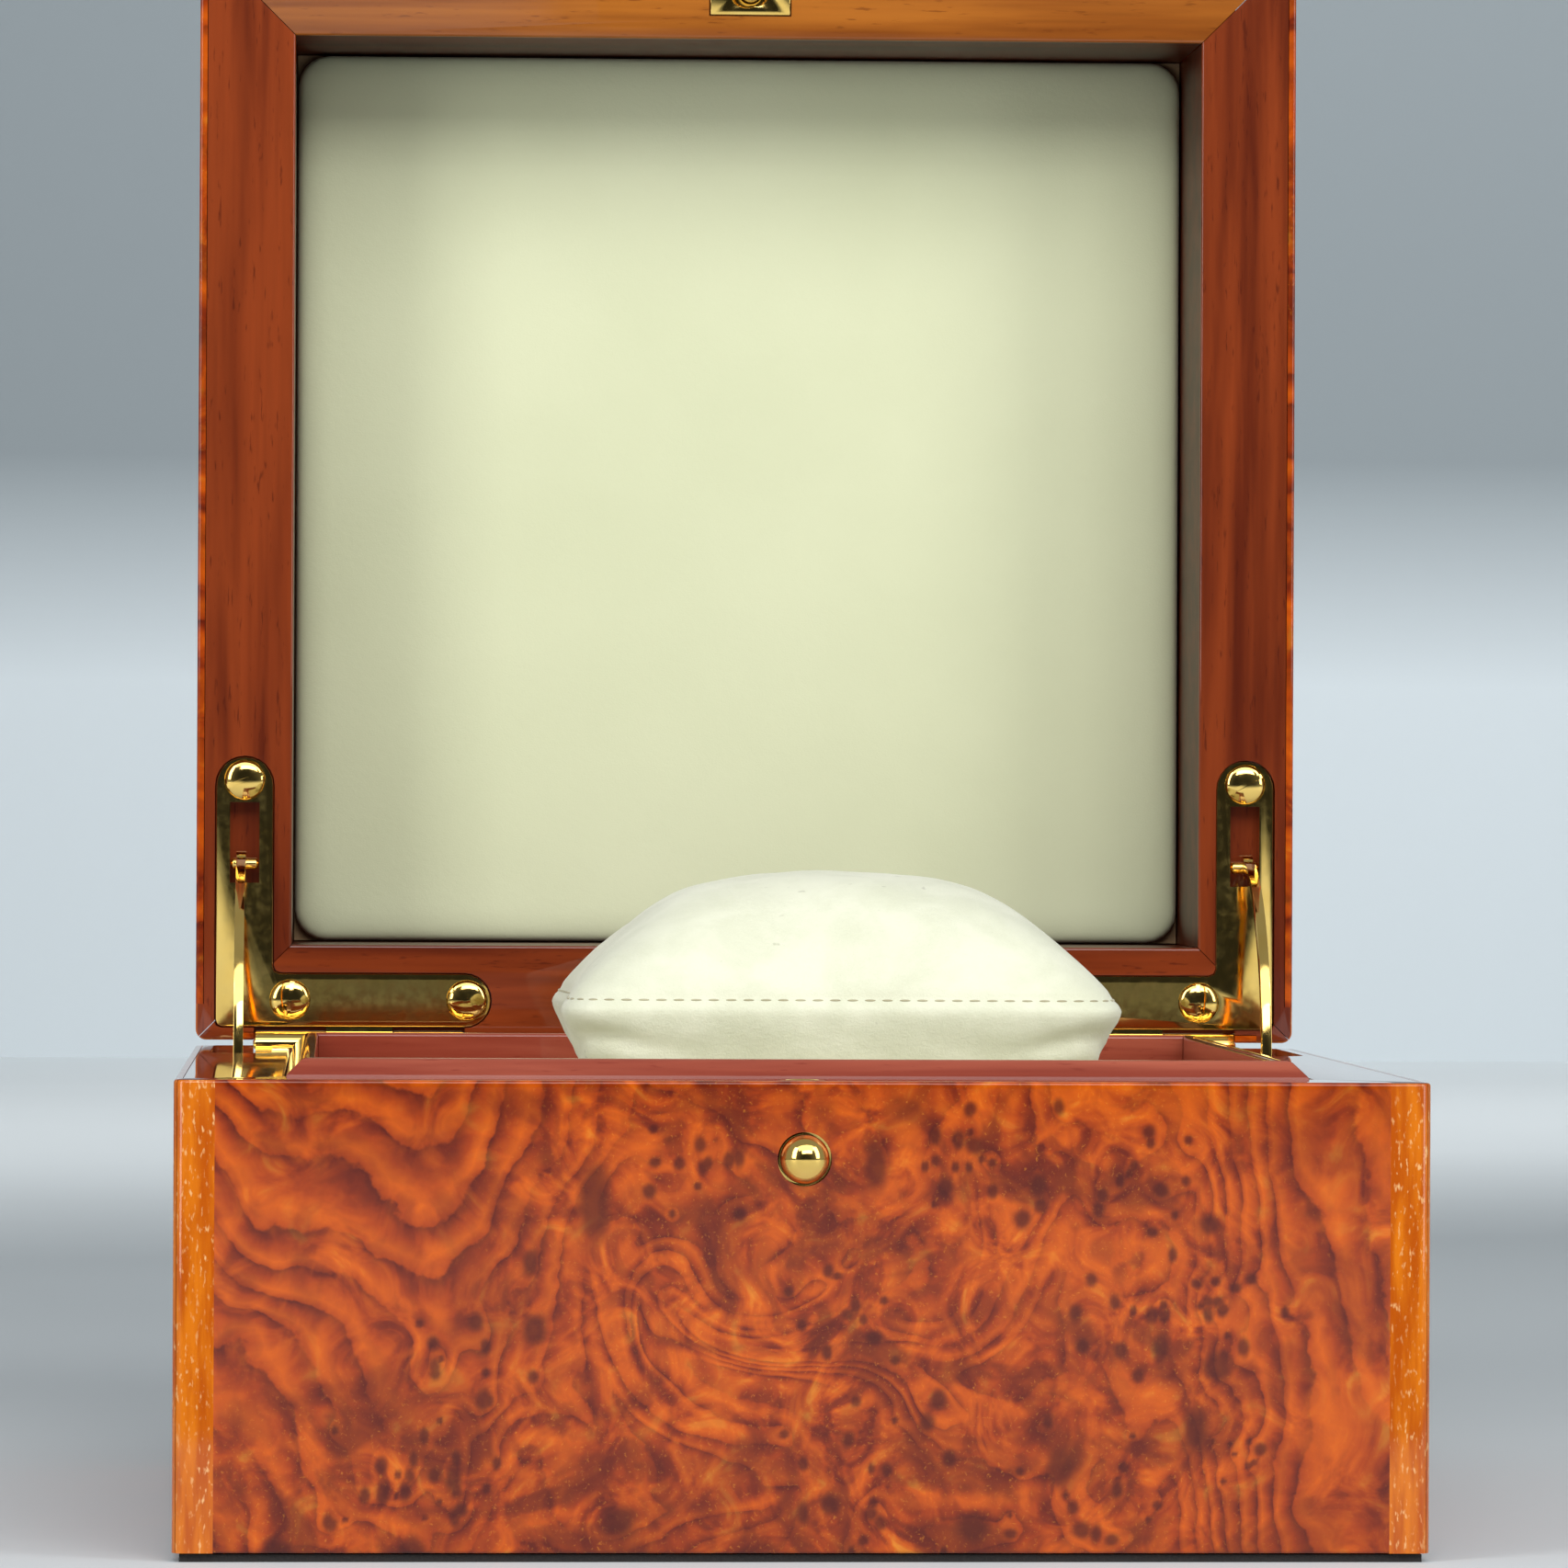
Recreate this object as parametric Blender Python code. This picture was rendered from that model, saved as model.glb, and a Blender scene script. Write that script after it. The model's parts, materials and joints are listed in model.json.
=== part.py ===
"""Wooden watch box with a padded hinged lid, side-rail hinges and a push-button catch.

Metres, Z up. X runs left to right, Y from the front to the back; the origin is the middle of
the underside. The box is drawn as it rests, with the lid open at a right angle.
"""

from math import asin, atan2, cos, hypot, pi, radians, sin, sqrt

import bmesh
import bpy

MM = 0.001

# overall sizes
WIDTH = 165 * MM
DEPTH = 165 * MM
BASE_HEIGHT = 63 * MM
LID_HEIGHT = 39 * MM
RIM_GAP = 0.3 * MM

# joinery
WALL = 14.3 * MM
CORNER_RADIUS = 1.6 * MM
TOP_ROUND = 1.2 * MM
GLUE_GAP = 0.1 * MM
FIT_GAP = 0.3 * MM
BAND = 5.4 * MM
VENEER = 1.2 * MM
FELT = 1.0 * MM
FLOOR = 5.0 * MM
LINER = 4.0 * MM
LINER_RISE = 2.4 * MM
TOP_BOARD = 3.6 * MM
PAD_BOARD = 1.5 * MM
LID_PAD = 3.6 * MM

# tray and pillow
DECK_DROP = 8.0 * MM
DECK = 4.4 * MM
POCKET_HALF = (30 * MM, 29 * MM)
PILLOW_X = 8.0 * MM
PILLOW_HALF = (38.5 * MM, 37.0 * MM)
PILLOW_SEAM = 8.0 * MM
PILLOW_RISE = 19.6 * MM

# hinges, measured from the outer side of the box and from the hinge line
AXIS_BEHIND = 0.6 * MM
LEAF = 2.0 * MM
LEAF_SINK = 0.8 * MM
LEG_OUTER = 2.9 * MM
LEG_WIDTH = 8.6 * MM
SIDE_SCREW_GAP = 3.3 * MM
SIDE_LEG_PAST = 3.5 * MM
BACK_LEG_LENGTH = 44.2 * MM
BACK_LEG_START = 2.6 * MM
BACK_LEG_WIDTH = 8.0 * MM
KNUCKLE_RADIUS = 1.9 * MM
KNUCKLES = (9.0 * MM, 40.0 * MM)
PIN_RADIUS = 0.75 * MM
SLOT_WIDTH = 4.4 * MM
ARM_PIVOT = 27.0 * MM
ARM_RADIUS = 30.0 * MM
ARM_HALF = 1.1 * MM
ARM_THICK = 1.4 * MM
ARM_OFFSET = 6.7 * MM
ARM_TAIL = 4.6 * MM
BACK_SCREWS = (14.1 * MM, 40.6 * MM)
SCREW_RADIUS = 2.9 * MM
SHANK_RADIUS = 1.1 * MM

# catch
CATCH_IN = 7.15 * MM
BUTTON_DROP = 10.2 * MM
BUTTON_RADIUS = 3.25 * MM
BUTTON_PROUD = 2.8 * MM
STUD_RADIUS = 1.7 * MM
STUD_DROP = 5.5 * MM

FRONT = -DEPTH / 2
BACK = DEPTH / 2
SIDE = WIDTH / 2
AXIS_Y = BACK + AXIS_BEHIND
AXIS_Z = BASE_HEIGHT + RIM_GAP / 2
LID_LOW = BASE_HEIGHT + RIM_GAP
LID_TOP = LID_LOW + LID_HEIGHT
MITRE = GLUE_GAP / 2 * sqrt(2)
LEAF_TOP = RIM_GAP / 2 + LEAF_SINK
LEG_RADIUS = LEG_WIDTH / 2
LEG_MIDDLE = LEG_OUTER + LEG_RADIUS
BUTTON_Z = BASE_HEIGHT - BUTTON_DROP

for thing in list(bpy.data.objects):
    bpy.data.objects.remove(thing, do_unlink=True)


def material(name, colour, roughness, metallic=0.0):
    made = bpy.data.materials.new(name)
    made.use_nodes = True
    shader = made.node_tree.nodes["Principled BSDF"]
    shader.inputs["Base Color"].default_value = (*colour, 1)
    shader.inputs["Roughness"].default_value = roughness
    shader.inputs["Metallic"].default_value = metallic
    return made


# ---- shapes, each a pair of corner list and face list ----


def loft(loops):
    count = len(loops[0])
    corners = [p for loop in loops for p in loop]
    faces = [tuple(reversed(range(count)))]
    for row in range(len(loops) - 1):
        for k in range(count):
            a, b = row * count + k, row * count + (k + 1) % count
            faces.append((a, b, b + count, a + count))
    last = (len(loops) - 1) * count
    faces.append(tuple(last + k for k in range(count)))
    return corners, faces


def prism(outline, low, high, along="Z"):
    place = {
        "X": lambda p, h: (h, p[0], p[1]),
        "Y": lambda p, h: (p[0], h, p[1]),
        "Z": lambda p, h: (p[0], p[1], h),
    }[along]
    return loft([[place(p, h) for p in outline] for h in (low, high)])


def box(low, high):
    (x0, y0, z0), (x1, y1, z1) = low, high
    return prism([(x0, y0), (x1, y0), (x1, y1), (x0, y1)], z0, z1)


def circle(centre, radius, steps=32):
    turns = [2 * pi * k / steps for k in range(steps)]
    return [(centre[0] + radius * cos(t), centre[1] + radius * sin(t)) for t in turns]


def revolve(profile, centre, along="Z", steps=32):
    """profile is (height, radius) pairs whose ends lie on the axis."""
    heights = [(h, r) for h, r in profile if r > 0]
    ends = profile[0][0], profile[-1][0]
    place = {
        "X": lambda h, u, v: (centre[0] + h, centre[1] + u, centre[2] + v),
        "Y": lambda h, u, v: (centre[0] + u, centre[1] + h, centre[2] + v),
        "Z": lambda h, u, v: (centre[0] + u, centre[1] + v, centre[2] + h),
    }[along]
    turns = [2 * pi * k / steps for k in range(steps)]
    corners = [place(h, r * cos(t), r * sin(t)) for h, r in heights for t in turns]
    faces = []
    for row in range(len(heights) - 1):
        for k in range(steps):
            a, b = row * steps + k, row * steps + (k + 1) % steps
            faces.append((a, b, b + steps, a + steps))
    for end, row in ((0, 0), (1, len(heights) - 1)):
        corners.append(place(ends[end], 0, 0))
        tip = len(corners) - 1
        for k in range(steps):
            faces.append((tip, row * steps + k, row * steps + (k + 1) % steps))
    return corners, faces


def ring(outer, inner, low, high):
    count = len(outer)
    corners = [(x, y, z) for z in (low, high) for loop in (outer, inner) for x, y in loop]
    faces = []
    for k in range(count):
        n = (k + 1) % count
        low_out, low_in, up_out, up_in = (row * count for row in range(4))
        faces.append((low_out + k, low_out + n, up_out + n, up_out + k))
        faces.append((low_in + k, low_in + n, up_in + n, up_in + k))
        faces.append((low_out + k, low_out + n, low_in + n, low_in + k))
        faces.append((up_out + k, up_out + n, up_in + n, up_in + k))
    return corners, faces


def rounded_square(centre, half_x, half_y, radius, steps=6):
    points = []
    for sx, sy, start in ((1, 1, 0), (-1, 1, 90), (-1, -1, 180), (1, -1, 270)):
        for k in range(steps + 1):
            t = radians(start + 90 * k / steps)
            x = centre[0] + sx * (half_x - radius) + radius * cos(t)
            y = centre[1] + sy * (half_y - radius) + radius * sin(t)
            points.append((x, y))
    return points


# ---- objects ----


def axis_empty(name, place, turn=0.0):
    empty = bpy.data.objects.new(name, None)
    empty.location = place
    empty.rotation_euler = (turn, 0, 0)
    bpy.context.collection.objects.link(empty)
    return empty


def place_object(name, mesh, paint, parent=None, origin=(0, 0, 0)):
    made = bpy.data.objects.new(name, mesh)
    bpy.context.collection.objects.link(made)
    if paint:
        mesh.materials.append(paint)
    if parent:
        made.parent = parent
    else:
        made.location = origin
    return made


def mesh_from(name, lumps, origin):
    shape = bmesh.new()
    for corners, faces in lumps:
        points = [shape.verts.new([c - o for c, o in zip(p, origin)]) for p in corners]
        for face in faces:
            shape.faces.new([points[k] for k in face])
    bmesh.ops.recalc_face_normals(shape, faces=shape.faces)
    mesh = bpy.data.meshes.new(name)
    shape.to_mesh(mesh)
    shape.free()
    return mesh


def solid(name, lumps, paint, parent=None, origin=(0, 0, 0)):
    start = parent.location if parent else origin
    return place_object(name, mesh_from(name, lumps, start), paint, parent, origin)


def change(target, lumps, operation, name):
    """Cut lumps out of the target, or join them to it."""
    parent = target.parent
    start = parent.location if parent else (0, 0, 0)
    tool = place_object(name, mesh_from(name, lumps, start), None, parent)
    tool.hide_render = True
    tool.display_type = "WIRE"
    step = target.modifiers.new(name, "BOOLEAN")
    step.operation = operation
    step.solver = "EXACT"
    step.object = tool
    return tool


def cut(target, lumps, name):
    return change(target, lumps, "DIFFERENCE", name)


def join(target, lumps, name):
    return change(target, lumps, "UNION", name)


wood = material("lacquered_wood", (0.36, 0.10, 0.03), 0.12)
burl = material("burl_veneer", (0.50, 0.15, 0.01), 0.12)
liner_wood = material("liner_wood", (0.45, 0.14, 0.07), 0.12)
board = material("board", (0.35, 0.24, 0.14), 0.7)
suede = material("suede", (0.72, 0.74, 0.58), 0.9)
pad_cloth = material("lid_cloth", (0.64, 0.66, 0.44), 0.85)
felt_cloth = material("felt", (0.03, 0.03, 0.03), 0.95)
foam = material("foam", (0.20, 0.20, 0.20), 0.9)
brass = material("polished_brass", (0.88, 0.62, 0.20), 0.08, 1.0)

lid_axis = axis_empty("lid_axis", (0, AXIS_Y, AXIS_Z), -pi / 2)


# ---- walls, burl panels and liners ----

# each side of the box is drawn as the front one, then turned to its place
SIDES = (
    ("front", lambda x, t: (x, FRONT + t), SIDE),
    ("right", lambda x, t: (SIDE - t, x), BACK),
    ("back", lambda x, t: (-x, BACK - t), SIDE),
    ("left", lambda x, t: (-SIDE + t, -x), BACK),
)


def wall_outline(half, inset=0.0, notch=0.0):
    """Plan of a mitred wall as (along, inward); inset draws its outer face back."""
    radius = CORNER_RADIUS - inset
    last = -pi / 4 - asin(MITRE / (sqrt(2) * radius))
    first = -pi / 2
    middle = half - CORNER_RADIUS
    arc = []
    for k in range(6):
        t = first + (last - first) * k / 5
        arc.append((middle + radius * cos(t), CORNER_RADIUS + radius * sin(t)))
    right = arc + [(half - WALL - MITRE, WALL)]
    if notch:
        right = [(half - BAND, notch), (half - BAND, inset)] + right
    return right + [(-x, y) for x, y in reversed(right)]


def wall(name, turn, half, low, high, round_top, notch, parent=None):
    loops = [(low, 0.0)]
    if round_top:
        for k in range(5):
            t = pi / 2 * k / 4
            loops.append((high - TOP_ROUND + TOP_ROUND * sin(t), TOP_ROUND * (1 - cos(t))))
    else:
        loops.append((high, 0.0))
    lump = loft([
        [(*turn(*p), z) for p in wall_outline(half, inset, notch)] for z, inset in loops
    ])
    return solid(name, [lump], wood, parent)


def panel_corners(turn, half, low, high, thick, start=0.0):
    points = [turn(x, t) for x, t in ((-half, start), (half, start), (half, thick), (-half, thick))]
    return prism(points, low, high)


base_low = FELT + 2 * GLUE_GAP
base_walls, lid_walls, base_burls, lid_burls = {}, {}, {}, {}
recess_top = LID_TOP - BAND
for side, turn, half in SIDES:
    field = half - BAND
    base_walls[side] = wall("base_wall_" + side, turn, half, base_low, BASE_HEIGHT, False, VENEER)
    base_burls[side] = solid("base_burl_" + side, [
        panel_corners(turn, field - GLUE_GAP, base_low, BASE_HEIGHT, VENEER - GLUE_GAP)
    ], burl)
    lid_walls[side] = wall("lid_wall_" + side, turn, half, LID_LOW, LID_TOP, True, 0, lid_axis)
    cut(lid_walls[side], [
        panel_corners(turn, field, LID_LOW - MM, recess_top, VENEER, -MM)
    ], "burl_recess_" + side)
    lid_burls[side] = solid("lid_burl_" + side, [
        panel_corners(turn, field - GLUE_GAP, LID_LOW, recess_top - GLUE_GAP, VENEER - GLUE_GAP)
    ], burl, lid_axis)

top_recess = (SIDE - BAND, BACK - BAND)
for side, _, _ in SIDES:
    cut(lid_walls[side], [
        box((-top_recess[0], -top_recess[1], LID_TOP - VENEER), (*top_recess, LID_TOP + MM))
    ], "top_recess_" + side)


def liner(name, turn, half):
    """A mitred board just inside a wall, its outer top edge cut at 45 degrees."""
    low, rim = base_low + FLOOR + GLUE_GAP, BASE_HEIGHT
    section = [(0, low), (0, rim), (LINER_RISE, rim + LINER_RISE), (LINER, rim + LINER_RISE), (LINER, low)]
    inside = WALL + GLUE_GAP
    ends = []
    for sign in (-1, 1):
        ends.append([
            (*turn(sign * (half - inside - t - MITRE), inside + t), z) for t, z in section
        ])
    return solid(name, [loft(ends)], liner_wood)


for side, turn, half in SIDES:
    liner("liner_" + side, turn, half)

well = (SIDE - WALL - GLUE_GAP, BACK - WALL - GLUE_GAP)


def board_of(name, half, low, high, paint, parent=None):
    return solid(name, [box((-half[0], -half[1], low), (half[0], half[1], high))], paint, parent)


board_of("base_floor", well, base_low, base_low + FLOOR, wood)
board_of("base_felt", (SIDE - MM, BACK - MM), 0, FELT, felt_cloth)

# ---- tray and pillow ----

tray = (well[0] - LINER - FIT_GAP, well[1] - LINER - FIT_GAP)
deck_top = BASE_HEIGHT - DECK_DROP
foam_top = deck_top - DECK - 2 * GLUE_GAP
board_of("tray_foam", tray, base_low + FLOOR + GLUE_GAP, foam_top, foam)
solid("tray_deck", [
    ring(
        rounded_square((0, 0), *tray, 1.0 * MM),
        rounded_square((PILLOW_X, 0), *POCKET_HALF, 6.0 * MM),
        deck_top - DECK, deck_top,
    )
], suede)


def pillow_shape():
    """A stuffed square with drawn-out corners: flat middle, sloping sides, seam all round."""
    seam = BASE_HEIGHT + PILLOW_SEAM
    bottom = foam_top + 2 * GLUE_GAP
    drop = seam - bottom
    steps = 72
    rows = ((0.985, 0.10), (0.94, 0.22), (0.86, 0.40), (0.76, 0.60), (0.66, 0.78), (0.56, 0.90), (0.44, 0.97), (0.26, 1.0))

    def loop(size, height):
        # squarer towards the seam, rounder towards the middle
        power = 3.0 + 5.0 * size
        points = []
        for k in range(steps):
            t = 2 * pi * (k + 0.5) / steps
            c, s = cos(t), sin(t)
            reach = (abs(c) ** power + abs(s) ** power) ** (-1 / power)
            corner = (abs(sin(2 * t)) ** 6) * 0.035 * size ** 4
            x = PILLOW_X + PILLOW_HALF[0] * size * reach * c * (1 + corner)
            y = PILLOW_HALF[1] * size * reach * s * (1 + corner)
            points.append((x, y, height))
        return points

    loops = [loop(size, seam - drop * rise) for size, rise in reversed(rows)]
    loops.append(loop(1.0, seam))
    loops += [loop(size, seam + PILLOW_RISE * rise) for size, rise in rows]
    return loft(loops)


solid("pillow", [pillow_shape()], suede)

# ---- lid top and its padded panel ----

board_top = LID_TOP - VENEER
pad_board_top = board_top - TOP_BOARD - GLUE_GAP
pad_top = pad_board_top - PAD_BOARD - GLUE_GAP
board_of("lid_top_board", well, board_top - TOP_BOARD, board_top, board, lid_axis)
burl_half = (top_recess[0] - GLUE_GAP, top_recess[1] - GLUE_GAP)
board_of("lid_top_burl", burl_half, board_top + GLUE_GAP, LID_TOP, burl, lid_axis)
board_of("lid_pad_board", (well[0] - GLUE_GAP, well[1] - GLUE_GAP), pad_board_top - PAD_BOARD, pad_board_top, board, lid_axis)


def pad_shape():
    """A thin cushion whose face swells away from the lid."""
    half = (well[0] - 2 * GLUE_GAP, well[1] - 2 * GLUE_GAP)
    rows = ((0.0, 0.0), (0.0, 0.35), (0.5, 0.60), (1.5, 0.76), (4.0, 0.88), (10.0, 0.96), (24.0, 1.0))
    loops = []
    for inset, depth in rows:
        radius = 2.0 * MM + inset * MM * 0.3
        outline = rounded_square((0, 0), half[0] - inset * MM, half[1] - inset * MM, radius)
        loops.append([(x, y, pad_top - LID_PAD * depth) for x, y in outline])
    return loft(loops)


solid("lid_pad", [pad_shape()], pad_cloth, lid_axis)

# ---- hinges ----


def about_axis(y, z, angle):
    return y * cos(angle) - z * sin(angle), y * sin(angle) + z * cos(angle)


def arm_line():
    """The arm's middle line in its own frame at rest, from the lid pivot to its free end."""
    pivot = (LEAF_TOP + LEAF / 2, ARM_PIVOT)
    landing = (-ARM_PIVOT + 1.2 * MM, -LEAF_TOP - LEAF / 2)
    dy, dz = landing[0] - pivot[0], landing[1] - pivot[1]
    span = hypot(dy, dz)
    middle = ((pivot[0] + landing[0]) / 2, (pivot[1] + landing[1]) / 2)
    back_off = sqrt(ARM_RADIUS**2 - (span / 2) ** 2)
    centre = (middle[0] - dz / span * back_off, middle[1] + dy / span * back_off)
    start = atan2(pivot[1] - centre[1], pivot[0] - centre[0])
    sweep = 2 * asin(span / 2 / ARM_RADIUS) + ARM_TAIL / ARM_RADIUS
    return pivot, centre, start, sweep


arm_pivot, arm_centre, arm_start, arm_sweep = arm_line()


def arm_band(half_wide, steps=24):
    outer, inner = [], []
    for k in range(steps + 1):
        t = arm_start + arm_sweep * k / steps
        for line, radius in ((outer, ARM_RADIUS + half_wide), (inner, ARM_RADIUS - half_wide)):
            line.append((arm_centre[0] + radius * cos(t), arm_centre[1] + radius * sin(t)))
    return outer + inner[::-1]


def arm_reach():
    """How far the arm reaches in the leaf's slot and in the wall as the lid shuts."""
    slot, pocket = [], []
    for step in range(46):
        closing = radians(2 * step)
        shifted = about_axis(*arm_pivot, closing)
        for y, z in arm_band(ARM_HALF, 60):
            y, z = about_axis(y - arm_pivot[0], z - arm_pivot[1], closing / 2)
            y, z = y + shifted[0], z + shifted[1]
            if -LEAF_TOP - LEAF - 0.3 * MM < z < -LEAF_TOP + 0.6 * MM:
                slot.append(y)
            if z < -LEAF_TOP - LEAF:
                pocket.append((y, z))
    return (
        (-max(slot) - 0.5 * MM, -min(slot) + 0.35 * MM),
        (-max(p[0] for p in pocket) - 1.2 * MM, -min(p[0] for p in pocket) + 0.8 * MM),
        -min(p[1] for p in pocket) + 1.4 * MM,
    )


slot_reach, pocket_reach, pocket_depth = arm_reach()
# the side leg's screw stands clear of the arm's slot, and the leg ends just past the screw
side_screw = slot_reach[1] + SIDE_SCREW_GAP
side_leg_end = side_screw + SIDE_LEG_PAST - LEG_RADIUS
back_leg_end = BACK_LEG_LENGTH - BACK_LEG_WIDTH / 2
back_middle = BACK_LEG_START + BACK_LEG_WIDTH / 2
screw_spots = ((LEG_MIDDLE, side_screw),) + tuple((a, back_middle) for a in BACK_SCREWS)


def leaf_outline(grow=0.0):
    """The L-shaped leaf as (from the outer side, forward of the hinge line)."""
    back_radius = BACK_LEG_WIDTH / 2 + grow
    side_radius = LEG_RADIUS + grow
    points = [(LEG_OUTER - grow + MM, BACK_LEG_START - grow)]
    for k in range(13):
        t = -pi / 2 + pi * k / 12
        points.append((back_leg_end + back_radius * cos(t), back_middle + back_radius * sin(t)))
    inner = LEG_OUTER + LEG_WIDTH + grow
    inside = BACK_LEG_START + BACK_LEG_WIDTH + grow
    points += [(inner + MM, inside), (inner + 0.3 * MM, inside + 0.3 * MM), (inner, inside + MM)]
    for k in range(13):
        t = pi * k / 12
        points.append((LEG_MIDDLE + side_radius * cos(t), side_leg_end + side_radius * sin(t)))
    points += [
        (LEG_OUTER - grow, BACK_LEG_START - grow + MM),
        (LEG_OUTER - grow + 0.3 * MM, BACK_LEG_START - grow + 0.3 * MM),
    ]
    return points


screw_profile = (
    (-9.0, 0), (-8.3, 0.45), (-7.4, 1.1), (-1.75, 1.1), (0, 2.9),
    (0.28, 2.6), (0.5, 2.0), (0.66, 1.1), (0.72, 0),
)


def screw_mesh():
    """One slotted screw, its head seated at height 0."""
    blank = solid("screw_blank", [
        revolve([(h * MM, r * MM) for h, r in screw_profile], (0, 0, 0), "Z", 28)
    ], brass)
    tool = cut(blank, [box((-4 * MM, -0.35 * MM, 0.15 * MM), (4 * MM, 0.35 * MM, 2 * MM))], "screw_slot")
    graph = bpy.context.evaluated_depsgraph_get()
    mesh = bpy.data.meshes.new_from_object(blank.evaluated_get(graph))
    for thing in (blank, tool):
        bpy.data.objects.remove(thing, do_unlink=True)
    mesh.name = "screw"
    return mesh


screw = screw_mesh()
knuckle_gap = 0.2 * MM
third = (KNUCKLES[1] - KNUCKLES[0]) / 3
base_spans = ((KNUCKLES[0], KNUCKLES[0] + third), (KNUCKLES[1] - third, KNUCKLES[1]))
lid_spans = ((KNUCKLES[0] + third + knuckle_gap, KNUCKLES[1] - third - knuckle_gap),)


def knuckle_outline():
    """Barrel and web in the base leaf's sense, as (behind, above) the hinge line."""
    points = []
    for k in range(25):
        t = radians(210 - 270 * k / 24)
        points.append((KNUCKLE_RADIUS * cos(t), KNUCKLE_RADIUS * sin(t)))
    low, high = -LEAF_TOP - LEAF + 0.1 * MM, -LEAF_TOP - 0.1 * MM
    return points + [(-0.9 * MM, low), (-3.0 * MM, low), (-3.0 * MM, high)]


def hinge(label, sign):
    def plan(a, b):
        return sign * (SIDE - a), AXIS_Y - b

    def along(span):
        return sorted((sign * (SIDE - span[0]), sign * (SIDE - span[1])))

    def rod(a_from, a_to, b, z, radius, steps=24):
        return prism(circle((AXIS_Y - b, z), radius, steps), *along((a_from, a_to)), "X")

    leaf_low, leaf_high = -LEAF_TOP - LEAF, -LEAF_TOP
    for part, up, parent, spans in (
        ("base", 1, None, base_spans), ("lid", -1, lid_axis, lid_spans)
    ):
        def level(z):
            return AXIS_Z + up * z

        leaf = solid(f"{label}_{part}_leaf", [
            prism([plan(*p) for p in leaf_outline()], level(leaf_low), level(leaf_high))
        ], brass, parent)
        web = [(AXIS_Y + y, level(z)) for y, z in knuckle_outline()]
        join(leaf, [prism(web, *along(span), "X") for span in spans], f"{label}_{part}_knuckles")
        cut(leaf, [rod(KNUCKLES[0] - MM, KNUCKLES[1] + MM, 0, AXIS_Z, PIN_RADIUS + 0.1 * MM)],
            f"{label}_{part}_pin_bore")
        half = SLOT_WIDTH / 2
        slot = [
            (LEG_MIDDLE - half, slot_reach[0]), (LEG_MIDDLE + half, slot_reach[0]),
            (LEG_MIDDLE + half, slot_reach[1]), (LEG_MIDDLE - half, slot_reach[1]),
        ]
        openings = [prism([plan(*p) for p in slot], level(leaf_low - MM), level(leaf_high + MM))]
        for a, b in screw_spots:
            x, y = plan(a, b)
            sunk = [(leaf_low - MM, 0), (leaf_low - MM, 1.35 * MM), (leaf_high - 1.7 * MM, 1.35 * MM),
                    (leaf_high + 0.1 * MM, 3.15 * MM), (leaf_high + MM, 3.15 * MM), (leaf_high + MM, 0)]
            openings.append(revolve([(up * h, r) for h, r in sunk], (x, y, AXIS_Z), "Z", 28))
        cut(leaf, openings, f"{label}_{part}_leaf_holes")

        for number, (a, b) in enumerate(screw_spots, 1):
            x, y = plan(a, b)
            head = place_object(f"{label}_{part}_screw_{number}", screw, None, parent)
            head.location = (x, y - AXIS_Y, level(leaf_high) - AXIS_Z) if parent else (x, y, level(leaf_high))
            head.rotation_euler = (0 if up > 0 else pi, 0, radians((20, 65, 110)[number - 1]))

        walls = base_walls if part == "base" else lid_walls
        burls = base_burls if part == "base" else lid_burls
        bed = prism([plan(*p) for p in leaf_outline(0.15 * MM)], level(leaf_low - 0.15 * MM), level(MM * 3))
        x0, x1 = along((KNUCKLES[0] - FIT_GAP, KNUCKLES[1] + FIT_GAP))
        z0, z1 = sorted((level(leaf_low - 0.15 * MM), level(3 * MM)))
        cove = box((x0, AXIS_Y - 3.1 * MM, z0), (x1, AXIS_Y + 3 * MM, z1))
        side = walls[label]
        for piece, edge in ((side, label), (walls["back"], "back")):
            cut(piece, [bed], f"{label}_{part}_bed_{edge}")
        cut(walls["back"], [cove], f"{label}_{part}_cove")
        cut(burls["back"], [cove], f"{label}_{part}_burl_cove")
        pilots = {label: [], "back": []}
        for a, b in screw_spots:
            x, y = plan(a, b)
            hole = prism(circle((x, y), 1.35 * MM, 20), level(leaf_low - 7.6 * MM), level(leaf_low + MM))
            pilots[label if b > WALL else "back"].append(hole)
        for edge, holes in pilots.items():
            cut(walls[edge], holes, f"{label}_{part}_pilots_{edge}")
        if part == "base":
            a0, a1, reach, deep = LEG_MIDDLE - 3.2 * MM, LEG_MIDDLE + 3.2 * MM, pocket_reach, pocket_depth
        else:
            a0, a1, reach, deep = LEG_MIDDLE - half, LEG_MIDDLE + half, slot_reach, 4.6 * MM
        (x0, x1), (z0, z1) = along((a0, a1)), sorted((level(-deep), level(MM)))
        cut(side, [box((x0, AXIS_Y - reach[1], z0), (x1, AXIS_Y - reach[0], z1))],
            f"{label}_{part}_arm_pocket")

    solid(f"{label}_hinge_pin", [
        revolve(
            [(sign * h, r) for h, r in (
                (0, 0), (0, 0.5 * MM), (0.25 * MM, PIN_RADIUS),
                (KNUCKLES[1] - KNUCKLES[0] + 0.55 * MM, PIN_RADIUS),
                (KNUCKLES[1] - KNUCKLES[0] + 0.8 * MM, 0.5 * MM),
                (KNUCKLES[1] - KNUCKLES[0] + 0.8 * MM, 0))],
            (sign * (SIDE - KNUCKLES[1] - 0.4 * MM), AXIS_Y, AXIS_Z), "X", 20)
    ], brass)

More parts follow.
